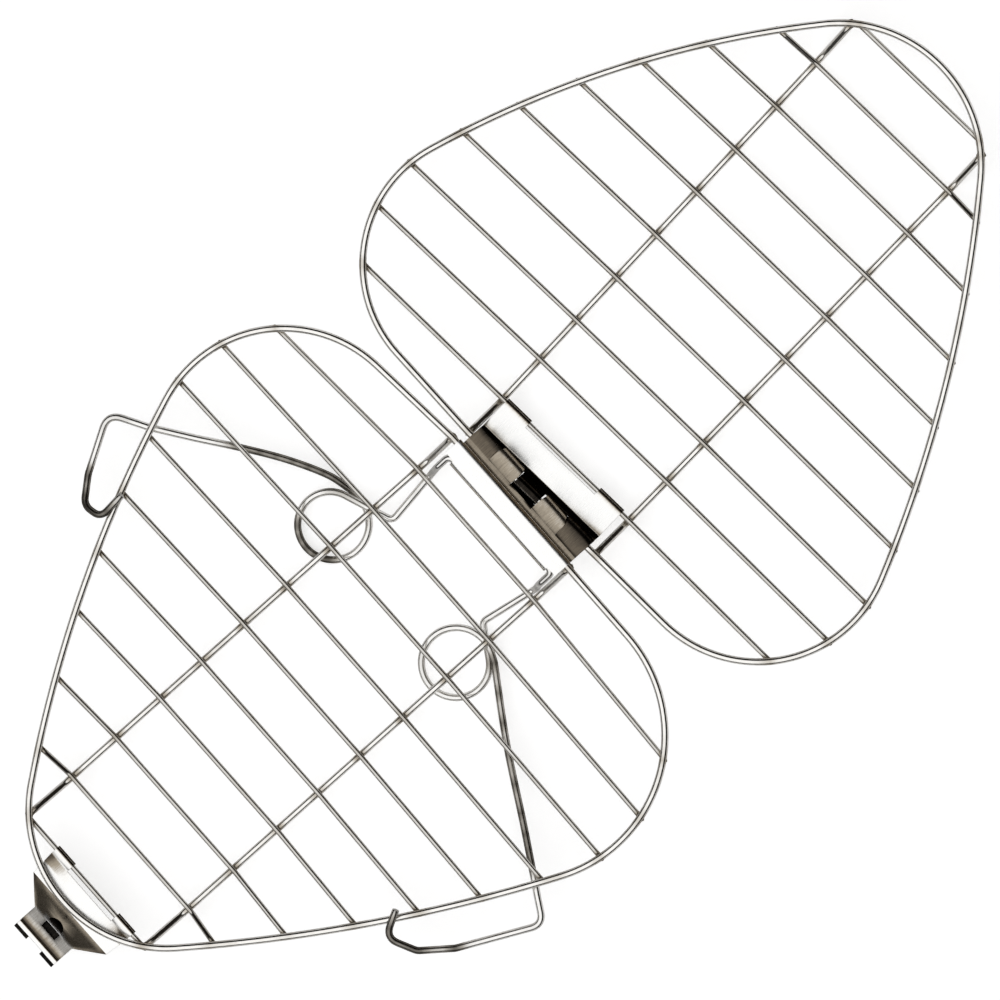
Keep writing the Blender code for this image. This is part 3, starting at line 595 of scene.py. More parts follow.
def solid(name, verts, faces, corner_uv, finish, body, heat=(), reach=0.0, level=0.0):
    """One piece from its points and faces; heat lists world points round which it is marked."""
    data = bpy.data.meshes.new(name)
    data.from_pydata([tuple(v) for v in verts], [], faces)
    data.uv_layers.new(name="along_round").data.foreach_set("uv", np.array(corner_uv, float).ravel())
    # The stain attribute: weld heat marks on wires; the sheets write painted shade into it later
    warm = data.attributes.new("painted_shade_and_stain", "FLOAT", "POINT")
    amount = np.zeros(len(verts))
    if len(heat):
        spots = np.array([tuple(v) for v in verts])
        for mark in heat:
            near = np.linalg.norm(spots - np.array(tuple(mark)), axis=1)
            amount = np.maximum(amount, np.exp(-(near / reach) ** 2) * level)
    warm.data.foreach_set("value", amount)
    data.materials.append(finish)
    data.shade_smooth()
    item = bpy.data.objects.new(name, data)
    scene.collection.objects.link(item)
    if body:
        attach(item, body)
    return item


# Weld lumps as (size, flatness): a cross wire under the rim and the spur beside it, a cross wire on a rail,
# and a rail's end under the rim; a depth is a share of the wire end's depth under the rim
RIM_WELD = (1.25 * MM, 0.75)
RIM_WELD_INSIDE = 0.6 * MM
RIM_WELD_DEPTH = 0.55
SPUR_WELD = (0.8 * MM, 0.8)
SPUR_WELD_OUTSIDE = 1.1 * MM
SPUR_WELD_DEPTH = 0.8
RAIL_WELD = (1.2 * MM, 0.55)
RAIL_WELD_LIFT = 0.1 * MM
RAIL_END_WELD = (1.9 * MM, 0.8)
RAIL_END_WELD_DEPTH = 0.5
NUGGET_RINGS = 5
NUGGET_SIDES = 8
NUGGET_UNEVEN = (0.85, 1.15)

# How far the heat of the welds marks each wire, and how strongly
RIM_HEAT = {"reach": 2.6 * MM, "level": 0.75}
RAIL_HEAT = {"reach": 2.4 * MM, "level": 0.6}
CROSS_HEAT = {"reach": 2.2 * MM, "level": 0.7}
# The cross wires are drawn thicker than their stock, by this much on the radius, because they look thicker
CROSS_EXTRA = 0.1 * MM


def nugget(seed, centre, size, squash):
    """One weld lump: a small ball pressed flat and a little uneven."""
    rng = np.random.default_rng(seed)
    verts, faces = [], []
    rings, around = NUGGET_RINGS, NUGGET_SIDES
    bumps = rng.uniform(*NUGGET_UNEVEN, (rings + 1, around))
    for i in range(1, rings):
        tilt = pi * i / rings
        for k in range(around):
            turn = 2 * pi * k / around
            r = size * bumps[i, k]
            out = r * sin(tilt)
            verts.append(centre + Vector((out * cos(turn), out * sin(turn), r * squash * cos(tilt))))
    pole = Vector((0, 0, size * squash))
    verts += [centre + pole, centre - pole]
    top, low = len(verts) - 2, len(verts) - 1
    for i in range(rings - 2):
        for k in range(around):
            n = (k + 1) % around
            faces.append((i * around + k, (i + 1) * around + k, (i + 1) * around + n, i * around + n))
    for k in range(around):
        n = (k + 1) % around
        faces.append((top, k, n))
        faces.append((low, (rings - 2) * around + n, (rings - 2) * around + k))
    return verts, faces


def weld_piece(name, marks, body):
    """All the weld lumps of one half as one piece; marks are centre, size and flatness."""
    verts, faces = [], []
    for number, mark in enumerate(marks):
        more, fields = nugget(number, *mark)
        faces += [tuple(v + len(verts) for v in f) for f in fields]
        verts += more
    uv = [(v.x * MM_PER_METRE, v.y * MM_PER_METRE) for f in faces for v in (verts[i] for i in f)]
    made = solid(name, verts, faces, uv, WELD_STEEL, body)
    return made


def build_half(prefix, half, way, place, body):
    """Rim, rails, cross wires and welds of one half; way is -1 where the half lies towards -Y."""
    def world(p):
        """A point of the half as a world point."""
        return place @ Vector((p[0], way * p[1], p[2] if len(p) > 2 else 0.0))

    welds, rim_heat, crossings, rail_ends = [], [], [], []
    for row in range(ROWS):
        line = cross_wire_points(half, row)
        away = half.rows[row]
        for end, inward in ((line[0], 1), (line[-1], -1)):
            rim_heat.append(world((end[0], end[1], CROSS_END_Z * 0.5)))
            inside = (end[0] + inward * RIM_WELD_INSIDE, end[1], CROSS_END_Z * RIM_WELD_DEPTH)
            outside = (end[0] - inward * SPUR_WELD_OUTSIDE, end[1], CROSS_END_Z * SPUR_WELD_DEPTH)
            welds += [(world(inside), *RIM_WELD), (world(outside), *SPUR_WELD)]
        if row < ROWS - 1:
            for side in (-1, 1):
                spread = half.spread[side > 0] * (away - RAIL_RISE_RUN) / (half.rows[-2] - RAIL_RISE_RUN)
                x = side * (RAIL_SPACING / 2 + max(spread, 0.0))
                crossings.append(world((x, away, (CROSS_Z + RAIL_Z) / 2 + RAIL_WELD_LIFT)))
                welds.append((crossings[-1], *RAIL_WELD))
    for side in (-1, 1):
        line = rail_points(half, side)
        for end in (line[0], line[-1]):
            rail_ends.append(world((end[0], end[1], RAIL_END_Z * RAIL_END_WELD_DEPTH)))
            welds.append((rail_ends[-1], *RAIL_END_WELD))
    rim = half.outline(1) + half.outline(-1)[-2::-1]
    made = tube(f"{prefix}_rim_wire", smooth_route([world(p) for p in rim], True), RIM_R, WIRE_STEEL, body,
                closed=True, sides=18, heat=rim_heat + rail_ends, **RIM_HEAT)
    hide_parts(f"{prefix}_rim")
    for word, side in (("left", -1), ("right", 1)):
        line = [world(p) for p in smooth_route(rail_points(half, side))]
        made = tube(f"{prefix}_{word}_rail_wire", line, RAIL_R, WIRE_STEEL, body, sides=16,
                    heat=crossings + rail_ends, **RAIL_HEAT)
        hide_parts(f"{prefix}_rail_{word}")
    for row in range(ROWS):
        line = [world(p) for p in smooth_route(cross_wire_points(half, row))]
        made = tube(f"{prefix}_grill_wire_{row + 1:02d}", line, CROSS_R + CROSS_EXTRA, GRILL_STEEL, body,
                    heat=[line[0], line[-1]] + crossings, **CROSS_HEAT)
        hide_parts(f"{prefix}_cross_wire_{row + 1:02d}")
    weld_piece(f"{prefix}_weld_nuggets", welds, body)


# Sheet edges are broken by this much wherever the surface turns by more than this angle
EDGE_BREAK = 0.12 * MM
EDGE_BREAK_FROM = radians(60)


def sheet(name, grid, place, kept, painted_shade_and_stain, stand, body, replaced=None):
    """Bent sheet with thickness and broken edges; grid is its columns and rows of points, stand its frame.

    For a column and a row, place gives the point, kept whether sheet follows it, and the stain function how
    dark it is painted, as painted shade and highlight.
    """
    wide, deep = grid
    rows = [[stand @ Vector(place(i, j)) for i in range(wide)] for j in range(deep)]
    faces = []
    uv = []
    run = [0.0]
    for a, b in zip(rows, rows[1:]):
        run.append(run[-1] + (b[0] - a[0]).length * MM_PER_METRE)
    for j in range(deep - 1):
        for i in range(wide - 1):
            if kept(i, j):
                faces.append((j * wide + i, j * wide + i + 1, (j + 1) * wide + i + 1, (j + 1) * wide + i))
                xs = (rows[j][i].x * MM_PER_METRE, rows[j][i + 1].x * MM_PER_METRE)
                uv += [(xs[0], run[j]), (xs[1], run[j]), (xs[1], run[j + 1]), (xs[0], run[j + 1])]
    used = sorted({v for f in faces for v in f})
    order = {v: n for n, v in enumerate(used)}
    points = [rows[v // wide][v % wide] for v in used]
    made = solid(name, points, [tuple(order[v] for v in f) for f in faces], uv, SHEET_STEEL, None)
    # Painted shade and painted highlight lines go into the stain attribute here
    made.data.attributes["painted_shade_and_stain"].data.foreach_set("value", [painted_shade_and_stain(v % wide, v // wide) for v in used])
    shell = made.modifiers.new("thickness", "SOLIDIFY")
    shell.thickness = SHEET
    shell.offset = 0.0
    shell.use_even_offset = True
    edge = made.modifiers.new("broken_edges", "BEVEL")
    edge.width = EDGE_BREAK
    edge.segments = 2
    edge.limit_method = "ANGLE"
    edge.angle_limit = EDGE_BREAK_FROM
    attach(made, body)
    if replaced:
        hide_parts(replaced)


def eased(points):
    """A section profile with its bends drawn smoothly; every third point is one of those given."""
    return [(p.x, p.y) for p in flowing([Vector((y, z, 0.0)) for y, z in points])]


def lerp(value, stops):
    """A number read off a chain of (position, number) stops."""
    return float(np.interp(value, [s[0] for s in stops], [s[1] for s in stops]))


# Sections of the hinge leaf: the dip between the rim and the lobes in shares of the curl's radius, then what
# follows beyond it in shares of its own reach and height
LEAF_DIP = ((1.02, 0.28), (1.15, 0.2), (1.28, 0.26), (1.4, 0.4), (1.52, 0.62), (1.65, 0.8), (1.85, 0.93),
            (2.05, 0.98))
LOBE_SHARES = ((0.16, 0.88), (0.4, 1.0), (0.64, 0.98), (0.84, 0.82), (0.96, 0.44), (1.0, 0.0), (0.95, -0.47),
               (0.82, -0.85), (0.64, -0.98), (0.34, -0.98), (0.05, -0.97))
LEFT_END_SHARES = ((0.2, 1.0), (0.5, 1.0), (0.8, 1.0), (1.0, 1.0))
RIGHT_END_SHARES = ((0.13, 0.85), (0.33, 1.0), (0.53, 1.0), (0.7, 0.985), (0.84, 0.85), (0.94, 0.55),
                    (1.0, 0.12))
TONGUE_SHARES = ((0.1, 0.25), (0.27, -0.5), (0.66, -1.2))
# The lobes' corners are rounded over this last share of their reach
LOBE_CORNER_SHARE = 0.45
# Points past the end of a short section, which no face uses, go down by this step in mm
SPARE_STEP = 0.1

# Painted shade of the leaf, with a painted highlight line along the hem, as (mm out from the lower rim,
# darkness)
STRIP_PAINTED_SHADE = ((-7.8, 0.5), (-7.3, 0.25), (-6.6, 0.0), (0.7, 0.0), (1.3, 0.3), (1.8, 0.55), (2.2, 0.35),
               (2.4, 0.15), (2.6, 0.35), (2.9, 0.5), (3.5, 0.5), (5.2, 0.5))
LOBE_PAINTED_SHADE = ((5.2, 0.52), (7.0, 0.47), (9.5, 0.4), (12.4, 0.37), (13.1, 0.5), (13.5, 0.9))
LEFT_END_PAINTED_SHADE = ((5.2, 0.62), (9.5, 0.66), (11.7, 0.9))
RIGHT_END_PAINTED_SHADE = ((5.2, 0.62), (9.5, 0.66), (12.0, 0.76), (14.5, 0.93))
TONGUE_PAINTED_SHADE = 0.95


def hinge_leaf():
    """The leaf folded round the bail and the lower rim, then over the pin as two lobes between flat ends."""
    section = [(CURL_R * 0.8, -CURL_R)]
    section += turn_round((BAIL_LINE, 0.0), CURL_R, -90, -270, 20)
    strip_start = len(section) - 1
    section += turn_round((0.0, 0.0), CURL_R, 90, 25, 9)
    hem_end = len(section) - 1
    section += [(CURL_R * a, CURL_R * b) for a, b in LEAF_DIP]
    edge = (POCKET_START, CURL_R)
    section += [edge]
    slit_row = len(section) - 1
    lobe, left_end, right_inner, right_end, tongue = (
        eased([edge] + pocket_profile(far, rise, shares))[1:] for far, rise, shares in (
            (LOBE_FAR, LOBE_RISE, LOBE_SHARES), (LEFT_END_FAR, CURL_R, LEFT_END_SHARES),
            (RIGHT_END_FAR - RIGHT_END_CUT, RIGHT_END_RISE, RIGHT_END_SHARES),
            (RIGHT_END_FAR, RIGHT_END_RISE, RIGHT_END_SHARES), (POCKET_START + RIM_R, CURL_R, TONGUE_SHARES)))
    left = LEAF_CENTRE - LEAF_HALF_WIDTH
    right = LEAF_CENTRE + LEAF_HALF_WIDTH
    (lobe_1, lobe_2), (lobe_3, lobe_4) = LOBES
    columns = [left, left + LEAF_END_INSET, left + LEAF_CURL_INSET, lobe_1 - LEAF_SLIT, lobe_1, lobe_2,
               lobe_2 + LEAF_SLIT, lobe_3 - LEAF_SLIT, lobe_3, lobe_4, lobe_4 + LEAF_SLIT,
               right - LEAF_CURL_INSET, right]
    profiles = [left_end] * 4 + [lobe] * 2 + [tongue] * 2 + [lobe] * 2 + [right_inner] + [right_end] * 2
    lengths = {1: len(left_end), 2: len(left_end), 4: len(lobe), 6: len(tongue), 8: len(lobe),
               10: len(right_end), 11: len(right_end)}
    # Which way, and how far, the columns beside a lobe go inwards at its corner
    corner_hand = {3: 1, 4: 1, 5: -0.45, 8: 0.45, 9: -1, 10: -1}

    def place(i, j):
        """The point in column i and row j."""
        if j <= slit_row:
            return (columns[i], *section[j])
        profile = profiles[i]
        y, z = profile[min(j - slit_row, len(profile)) - 1]
        z -= max(j - slit_row - len(profile), 0) * SPARE_STEP * MM
        out = (y - POCKET_START) / (LOBE_FAR - POCKET_START)
        round_off = max(out - (1 - LOBE_CORNER_SHARE), 0.0) / LOBE_CORNER_SHARE
        return (columns[i] + corner_hand.get(i, 0) * LOBE_CORNER * round_off ** 2, y, z)

    def kept(i, j):
        """Ends, lobes and tongue stop at their own lengths; the hem leaves out the outer columns."""
        if j < strip_start:
            return 2 <= i <= 10
        if j < hem_end:
            return True
        if j < slit_row:
            return i >= 1
        return j - slit_row < lengths.get(i, 0)

    def painted_shade_and_stain(i, j):
        """How dark the leaf is painted at a point: painted shade, with a painted highlight line on the hem.
        """
        y, z = place(i, j)[1:]
        if j <= slit_row:
            return lerp(y / MM, STRIP_PAINTED_SHADE)
        if i in (4, 5, 8, 9):
            # Painted shade: black on the lobes' undersides, brown on their tops
            return 1.0 if z < 0 else lerp(y / MM, LOBE_PAINTED_SHADE)
        if i in (6, 7):
            # Painted shade: the tongue seen through the window is near black
            return TONGUE_PAINTED_SHADE
        return lerp(y / MM, LEFT_END_PAINTED_SHADE if i < 4 else RIGHT_END_PAINTED_SHADE)

    grid = (len(columns), slit_row + len(lobe) + 1)
    sheet("hinge_leaf_sheet", grid, place, kept, painted_shade_and_stain, ROOT, "lower_half", "hinge_leaf")


# Painted shade of the hinge plate: dark on the curl and the steep face, fading over the last rows of the
# fold, with a painted highlight line along the curl; then painted shade on the web for each column and row,
# and round the tabs' curls
PLATE_CURL_PAINTED_SHADE = 0.92
PLATE_CURL_GLINT = 0.15
PLATE_FACE_PAINTED_SHADE = 0.86
PLATE_FOLD_PAINTED_SHADE = 0.84
PLATE_FOLD_FADE = 0.2
PLATE_FADE_ROWS = 4
WEB_COLUMN_PAINTED_SHADE = (0.5, 0.36, 0.04, 0.0, 0.3, 0.68)
WEB_ROW_PAINTED_SHADE = (1.0, 0.6, 0.0)
PLATE_TAB_PAINTED_SHADE = (0.3, 0.72, 0.85, 0.8, 0.12, 0.85)
WEB_SHARES = (0.12, 0.35, 0.5, 0.75, 1.0)


def hinge_plate():
    """The plate of the upper half: an arm curled on the pin, a steep face down to the dish, and two tabs."""
    tab_r = CROSS_R + CURL_PLAY + SHEET / 2
    web_z = CROSS_Z + tab_r
    fold = (PLATE_FOLD, web_z)
    lean = atan2(fold[1], fold[0]) - asin(CURL_R / hypot(*fold))
    section = turn_round((0.0, 0.0), CURL_R, 250, degrees(lean) + 90, 24)
    curl_end = len(section) - 1
    start = section[-1]
    for reach in (PLATE_RIGHT_REACH, PLATE_LEFT_REACH):
        drop = sqrt(reach ** 2 - CURL_R ** 2)
        section.append((start[0] + cos(lean) * drop, start[1] + sin(lean) * drop))
    right_row = len(section) - 2
    left_row = len(section) - 1
    web_end = UPPER_FIRST_ROW - CROSS_R - SHEET
    bend = rounded([(*section[-1], 0.0), (*fold, 0.0), (web_end, web_z, 0.0)], PLATE_FOLD_RADIUS, 9)
    section += [(p.x, p.y) for p in bend[1:-1]]
    fold_end = len(section) - 1
    section += [(fold[0] + (web_end - fold[0]) * share, web_z) for share in WEB_SHARES]
    tab_row = len(section) - 1
    section += turn_round((UPPER_FIRST_ROW, CROSS_Z), tab_r, 90, -120, 20)
    left = PLATE_OFFSET - PLATE_HALF_WIDTH
    right = PLATE_OFFSET + PLATE_HALF_WIDTH
    columns = [left, left + PLATE_TAB, LOBES[0][1] + ARM_GAP - SIDE_SLIP, LOBES[1][0] - ARM_GAP - SIDE_SLIP,
               right - PLATE_TAB, right]

    def place(i, j):
        """The point in column i and row j."""
        return (columns[i], *section[j])

    def kept(i, j):
        """The middle column is the arm, the face starts later on the left, and the outer ones are tabs."""
        if j < right_row:
            return i == 2
        if j < left_row:
            return i >= 2
        if j < tab_row:
            return True
        return i in (0, 4)

    def painted_shade_and_stain(i, j):
        """How dark the plate is painted at a point: painted shade, with painted highlight lines on the curls.
        """
        # Painted shade on the curl, with a painted highlight line at its middle rows
        if j <= curl_end:
            return PLATE_CURL_GLINT if j in (curl_end // 2, curl_end // 2 + 1) else PLATE_CURL_PAINTED_SHADE
        if j < fold_end - PLATE_FADE_ROWS:
            return PLATE_FACE_PAINTED_SHADE
        if j < fold_end:
            return PLATE_FOLD_PAINTED_SHADE - PLATE_FOLD_FADE * (j - fold_end + PLATE_FADE_ROWS)
        if j > tab_row:
            return PLATE_TAB_PAINTED_SHADE[min(j - tab_row - 1, len(PLATE_TAB_PAINTED_SHADE) - 1)]
        return WEB_COLUMN_PAINTED_SHADE[i] * WEB_ROW_PAINTED_SHADE[min(j - fold_end, 2)]

    grid = (len(columns), len(section))
    sheet("hinge_plate_sheet", grid, place, kept, painted_shade_and_stain, SLIP_FRAME, "upper_half", "hinge_plate")


# Sections of the catch: the web's rise and start in shares of the curl's radius, plain rows on web and lip in
# mm, the half-round hole's rows, and the barrel's crown as (share of its length, share of its rise)
CATCH_RISE = (1.2, 0.7)
CATCH_WEB_START = 1.9
CATCH_WEB_ROWS = (4.5, 6.5, 7.5)
CATCH_LIP_ROWS = (1.3, 1.2, 0.0)
CATCH_LIP_SLOPE = 0.1
CATCH_HOLE_SHARES = (1.0, 0.9, 0.7, 0.4, 0.0)
CATCH_CROWN = ((0.0, 0.0), (0.15, 0.1), (0.3, 0.2), (0.5, 0.33), (0.7, 0.43), (0.8, 0.44), (0.9, 0.36),
               (1.0, 0.0))
CATCH_CROWN_STEPS = 16
CATCH_WINDOW_STEPS = 6
CATCH_CURL_STEPS = 18
CATCH_EDGE_SHARE = 0.86

# Painted shade of the catch, near black on the teeth, with a painted highlight line on the tab curls: along
# it as (mm out from the cross wire, darkness), and across it for each column
CATCH_PAINTED_SHADE = ((13.3, 0.0), (13.6, 0.46), (20.0, 0.48), (21.3, 0.42), (21.8, 0.24), (25.0, 0.27),
               (27.0, 0.36), (27.9, 0.68), (29.6, 0.85), (30.1, 0.3), (30.4, 0.0), (31.7, 0.0), (31.8, 0.96))
CATCH_WEB_PAINTED_SHADE = ((2.0, 0.3), (3.0, 1.0), (6.5, 0.7), (7.5, 0.0))
CATCH_WEB_END = 8.0
CATCH_WEB_COLUMNS = (0.9, 0.55, 0.2, 0.0, 0.0, 0.15, 0.5, 0.45)
CATCH_SHOULDER_PAINTED_SHADE = ((13.3, 0.0), (13.6, 1.0), (15.6, 0.75), (17.5, 0.0))
CATCH_SHOULDER_COLUMNS = (0.97, 0.68, 0.0, 0.0, 0.0, 0.0, 0.5, 0.9)
CATCH_TAB_PAINTED_SHADE = (0.1, 0.35, 0.85, 0.85, 0.12, 0.85)


def apex_catch():
    """The catch on the lower apex cross wire: tabs, web under the rim, nose with a barrel and a lip."""
    tab_r = CROSS_R + CATCH_PLAY + SHEET / 2
    section = turn_round((0.0, 0.0), tab_r, -60, -270, CATCH_CURL_STEPS)
    tab_end = len(section) + 1
    section += [(CATCH_RISE[0] * tab_r, CATCH_RISE[1] * tab_r), (CATCH_WEB_START * tab_r, CATCH_WEB_Z)]
    section += [(d * MM, CATCH_WEB_Z) for d in CATCH_WEB_ROWS]
    section += [(CATCH_SHOULDER - 0.3 * MM, CATCH_WEB_Z), (CATCH_SHOULDER, CATCH_WEB_Z)]
    slope = CATCH_LIFT / (CATCH_FOLD - CATCH_SHOULDER)
    holes = [CATCH_BRIDGE_START - CATCH_SLOT * share for share in CATCH_HOLE_SHARES]
    outs = [CATCH_SHOULDER + 2 * MM] + holes + [CATCH_FOLD]
    section += [(d, CATCH_WEB_Z + (d - CATCH_SHOULDER) * slope) for d in outs]
    fold_row = len(section) - 1
    hole_row = fold_row - len(holes)
    for i in range(1, CATCH_CROWN_STEPS + 1):
        t = i / CATCH_CROWN_STEPS
        crown = CATCH_BARREL_RISE * lerp(t, CATCH_CROWN)
        section.append((CATCH_FOLD + CATCH_BARREL * t, CATCH_NOSE_Z + crown))
    window_end = fold_row + CATCH_WINDOW_STEPS
    lip = CATCH_FOLD + CATCH_BARREL
    section.append((lip + 0.7 * MM, CATCH_NOSE_Z + 0.02 * CATCH_LIP))
    section += [(lip + d, CATCH_NOSE_Z + CATCH_LIP_SLOPE * d)
                for d in (CATCH_LIP - back * MM for back in CATCH_LIP_ROWS)]
    tooth_row = len(section) - 2
    section.append((lip + CATCH_LIP + 0.5 * SHEET, CATCH_NOSE_Z - CATCH_TOOTH))
    tab_share = 1.0 - CATCH_TAB / CATCH_HALF_WIDTH
    window_share = CATCH_WINDOW_HALF / CATCH_NOSE_HALF
    shares = (-1.0, -CATCH_EDGE_SHARE, -tab_share, -window_share, window_share, tab_share,
              CATCH_EDGE_SHARE, 1.0)
    taper = ((2 * tab_r, CATCH_HALF_WIDTH), (CATCH_SHOULDER, CATCH_SHOULDER_HALF),
             (CATCH_FOLD, CATCH_NOSE_HALF))

    def place(i, j):
        """The point in column i and row j; the two middle columns run round the half-round hole."""
        out, z = section[j]
        across = shares[i] * lerp(out, taper)
        if i in (3, 4) and hole_row <= j < fold_row:
            rise = min(max((CATCH_BRIDGE_START - out) / CATCH_SLOT, 0.0), 0.995)
            across = (-1 if i == 3 else 1) * CATCH_WINDOW_HALF * sqrt(1 - rise ** 2)
        return (CATCH_CENTRE + across, -out, z)

    def kept(i, j):
        """The outer columns are tabs; the middle one leaves out the hole, the window and the teeth's gap."""
        if j < tab_end:
            return i in (0, 1, 5, 6)
        if hole_row <= j < fold_row - 1 or fold_row <= j < window_end or j >= tooth_row:
            return i != 3
        return True

    def painted_shade_and_stain(i, j):
        """How dark the catch is painted at a point, as painted shade."""
        out = section[j][0] / MM
        if j < tab_end:
            return CATCH_TAB_PAINTED_SHADE[min(max(CATCH_CURL_STEPS - j, 0), len(CATCH_TAB_PAINTED_SHADE) - 1)]
        if out < CATCH_WEB_END:
            return CATCH_WEB_COLUMNS[i] * lerp(out, CATCH_WEB_PAINTED_SHADE)
        if i in (3, 4) and fold_row - 1 <= j <= fold_row:
            return 0.0
        return max(lerp(out, CATCH_PAINTED_SHADE), CATCH_SHOULDER_COLUMNS[i] * lerp(out, CATCH_SHOULDER_PAINTED_SHADE))

    grid = (len(shares), len(section))
    sheet("apex_catch_sheet", grid, place, kept, painted_shade_and_stain, CATCH_FRAME, "apex_catch", "apex_catch")


# Painted shade: a near-black strip under the nose, seen through the window and the half-round hole
SHADE_STRIP_DARKNESS = 0.97
SHADE_STRIP_WIDTH = 1.3


def catch_painted_shade_strip():
    """The strip of sheet, painted near black as shade, that is seen through the catch's window and half-round
    hole.
    """
    section = [(CATCH_BRIDGE_START - CATCH_SLOT - 0.6 * MM, CATCH_NOSE_Z - 3.0 * MM),
               (CATCH_FOLD, CATCH_NOSE_Z - 1.2 * MM),
               (CATCH_FOLD + 0.55 * CATCH_BARREL, CATCH_NOSE_Z - 0.9 * MM)]

    def place(i, j):
        """The point on side i in row j."""
        out, z = section[j]
        return (CATCH_CENTRE + (-1, 1)[i] * CATCH_WINDOW_HALF * SHADE_STRIP_WIDTH, -out, z)

    sheet("catch_painted_shade_strip", (2, len(section)), place, lambda i, j: True, lambda i, j: SHADE_STRIP_DARKNESS,
          CATCH_FRAME, "apex_catch")


# Grey marks of the spring wire: their reach and strength
BEND_MARKS = {"reach": 5 * MM, "level": 0.5}


def spring_arm(coil, run, hook):
    """From the coil's end along the arm, under the rim, round the hook and up over the rim."""
    lead = coil[-1] + (coil[-1] - coil[-2]).normalized() * SPRING_WIRE
    rise = HOOK_HEIGHT + ARM_UNDER_RIM
    bends = [Vector((x * MM, y * MM, -ARM_UNDER_RIM + share * rise)) for x, y, share in hook]
    line = flowing([lead] + [Vector(p) * MM for p in run] + bends[:1], 8)[:-1]
    return line + rounded([line[-1]] + bends, 2 * BAIL_BEND_RADIUS, 9)[1:]


def grey_places(coil, arm, coil_marked):
    """Where the spring wire is grey: the arm's start and its hook and, on one coil, the side towards -Y."""
    middle = sum(p.y for p in coil) / len(coil)
    low_side = [p for p in coil[::4] if p.y < middle - 0.6 * COIL_RADIUS]
    return (low_side if coil_marked else []) + arm[:26:3] + arm[-24::3]


def build_spring():
    """The spring bail: one bent wire, made in two lengths that meet inside the hinge leaf's curl."""
    left_in = coil_entry(LEFT_COIL, LEFT_LEG_FOOT, 1)
    right_in = coil_entry(RIGHT_COIL, RIGHT_LEG_FOOT, -1)
    left_coil = coil_points(LEFT_COIL, left_in, LEFT_ARM_EXIT - left_in, COIL_TOP_Z, COIL_LOW_Z)
    right_coil = coil_points(RIGHT_COIL, right_in, RIGHT_ARM_EXIT - right_in, COIL_LOW_Z, COIL_TOP_Z)
    legs = bail_leg(-1, LEFT_LEG_FOOT, COIL_TOP_Z)[::-1] + bail_leg(1, RIGHT_LEG_FOOT, COIL_LOW_Z)
    middle = rounded([left_coil[0]] + [Vector(p) for p in legs] + [right_coil[0]], BAIL_BEND_RADIUS, 9)
    seam = Vector((BAIL_CENTRE, BAIL_LINE, 0.0))
    left_run = [p for p in middle if p.x < seam.x - MM][::-1]
    right_run = [p for p in middle if p.x > seam.x + MM]
    for word, inner, coil, run, hook, replaced in (
            ("left", left_run, left_coil, LEFT_ARM_ROUTE, LEFT_HOOK, ("spring_bail", "left_spring_arm")),
            ("right", right_run, right_coil, RIGHT_ARM_ROUTE, RIGHT_HOOK, ("right_spring_arm",))):
        arm = spring_arm(coil, run, hook)
        route = [ROOT @ p for p in smooth_route([seam] + inner + coil[1:] + arm)]
        bends = [ROOT @ p for p in grey_places(coil, arm, word == "left")]
        made = tube(f"{word}_spring_wire", route, SPRING_R, SPRING_STEEL, None, sides=18, heat=bends,
                    flat_z=FLOOR_Z + ROOT.translation.z, **BEND_MARKS)
        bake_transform(made)
        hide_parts(*replaced)


# The camera's place, its directions across, up and back from the picture, and its lens on a 36 mm film
CAMERA_FILM = 36.0
CAMERA_LENS = 442.26
CAMERA_REACH = 20.0
CAMERA_PLACE = (0.13929, 0.746748, 4.911826)
CAMERA_ACROSS = (0.66275659, 0.73722652, -0.13134216)
CAMERA_UP = (-0.74827667, 0.65876737, -0.07815102)
CAMERA_BACK = (0.02890893, 0.15007537, 0.98825182)


def build_camera():
    """The camera, nearly overhead and far away."""
    lens = bpy.data.cameras.new("camera")
    lens.sensor_width = CAMERA_FILM
    lens.lens = CAMERA_LENS
    lens.clip_end = CAMERA_REACH
    camera = bpy.data.objects.new("camera", lens)
    scene.collection.objects.link(camera)
    turn = Matrix((CAMERA_ACROSS, CAMERA_UP, CAMERA_BACK)).transposed().to_4x4()
    camera.matrix_world = Matrix.Translation(CAMERA_PLACE) @ turn
    scene.camera = camera


# The white ceiling leans towards -Y; the tones run from the walls up to the ceiling's middle
DOME_LEAN = (0.0, -0.28, 1.0)
DOME_TONES = [(0.0, "#1d1a17"), (0.66, "#1d1a17"), (0.78, "#ffffff"), (1.0, "#ffffff")]
DOME_STRENGTH = 1.1
FLOOR_HALF = 1.6
FLOOR_DROP = 0.1 * MM
# How brightly the paper is seen by the eye and in the metal, over the light that falls on it
PAPER_GLOW = 0.58


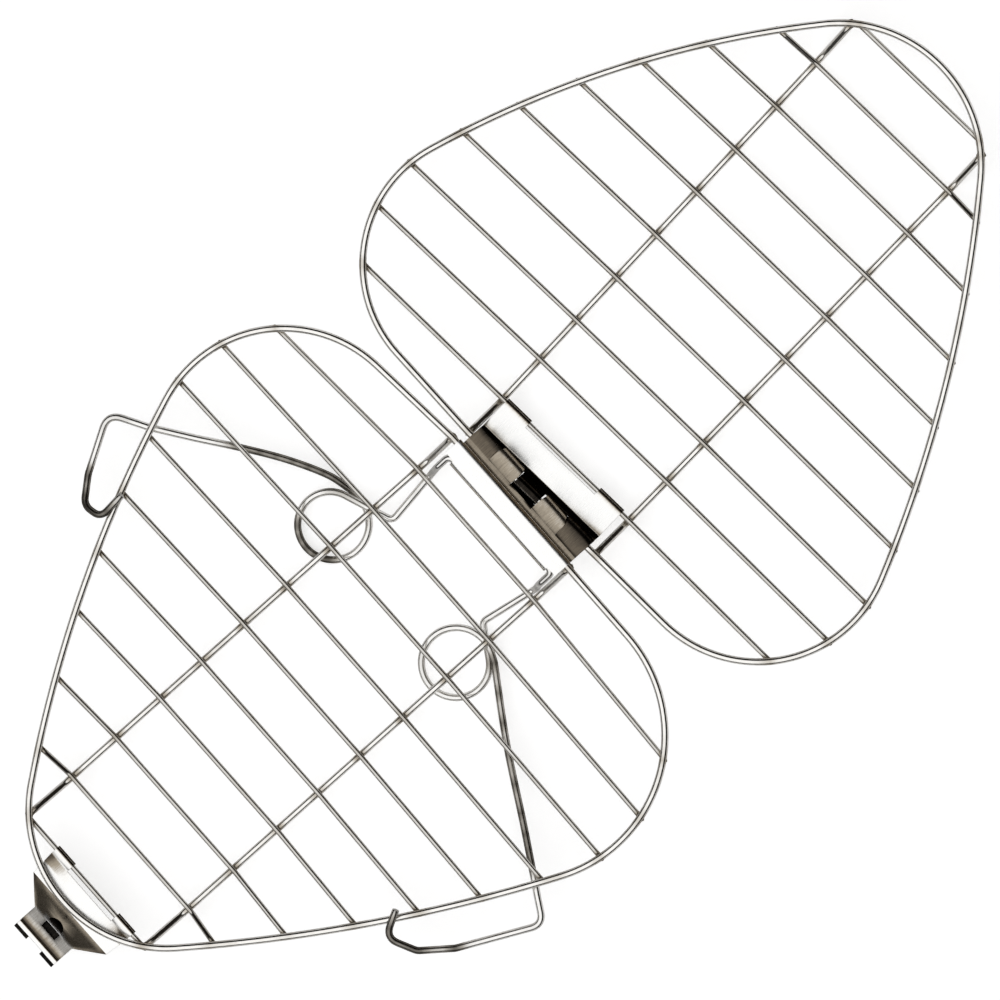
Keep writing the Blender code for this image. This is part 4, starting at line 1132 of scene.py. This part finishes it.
def build_dome():
    """A room with a white ceiling and dark walls, which is what the metal reflects."""
    world = bpy.data.worlds.new("studio")
    scene.world = world
    world.use_nodes = True
    tree = world.node_tree
    back = tree.nodes["Background"]
    way = node(tree, "TexCoord").outputs["Generated"]
    toward = Vector(DOME_LEAN).normalized()
    lift = node(tree, "VectorMath", [(0, way), (1, toward)], operation="DOT_PRODUCT").outputs["Value"]
    tree.links.new(ramp(tree, lift, DOME_TONES), back.inputs["Color"])
    back.inputs["Strength"].default_value = DOME_STRENGTH


def build_floor():
    """White paper under the grate, which looks white to the eye and in the metal and keeps the shadow."""
    data = bpy.data.meshes.new("floor")
    low = cad_box[0][2] - FLOOR_DROP
    corners = ((-1, -1), (1, -1), (1, 1), (-1, 1))
    data.from_pydata([(x * FLOOR_HALF, y * FLOOR_HALF, low) for x, y in corners], [], [(0, 1, 2, 3)])
    ground = bpy.data.objects.new("floor", data)
    scene.collection.objects.link(ground)
    paper = bpy.data.materials.new("white_paper_sweep")
    paper.use_nodes = True
    tree = paper.node_tree
    shader = tree.nodes["Principled BSDF"]
    shader.inputs["Base Color"].default_value = linear("#f4f4f4")
    shader.inputs["Roughness"].default_value = 0.9
    ray = node(tree, "LightPath").outputs
    seen = node(tree, "Math", [(0, ray["Is Camera Ray"]), (1, ray["Is Glossy Ray"])], operation="MAXIMUM")
    glow = node(tree, "Math", [(0, seen.outputs[0]), (1, ray["Is Transmission Ray"])], operation="MAXIMUM")
    power = node(tree, "Math", [(0, glow.outputs[0]), (1, PAPER_GLOW)], operation="MULTIPLY")
    shader.inputs["Emission Color"].default_value = linear("#ffffff")
    tree.links.new(power.outputs[0], shader.inputs["Emission Strength"])
    data.materials.append(paper)


build_camera()
build_dome()
build_floor()
LOWER = Half(LOWER_LENGTH, LOWER_APEX_RADIUS, LOWER_APEX_SLIP, (LOWER_LEFT_SIDE, LOWER_RIGHT_SIDE),
             LOWER_ROWS, LOWER_SWEEP, LOWER_RAIL_SPREAD)
UPPER = Half(UPPER_LENGTH, UPPER_APEX_RADIUS, UPPER_APEX_SLIP, (UPPER_LEFT_SIDE, UPPER_RIGHT_SIDE),
             UPPER_ROWS, UPPER_SWEEP, UPPER_RAIL_SPREAD)
build_half("lower", LOWER, -1, ROOT, "lower_half")
build_half("upper", UPPER, 1, SLIP_FRAME, "upper_half")
hinge_leaf()
hinge_plate()
apex_catch()
catch_painted_shade_strip()
build_spring()
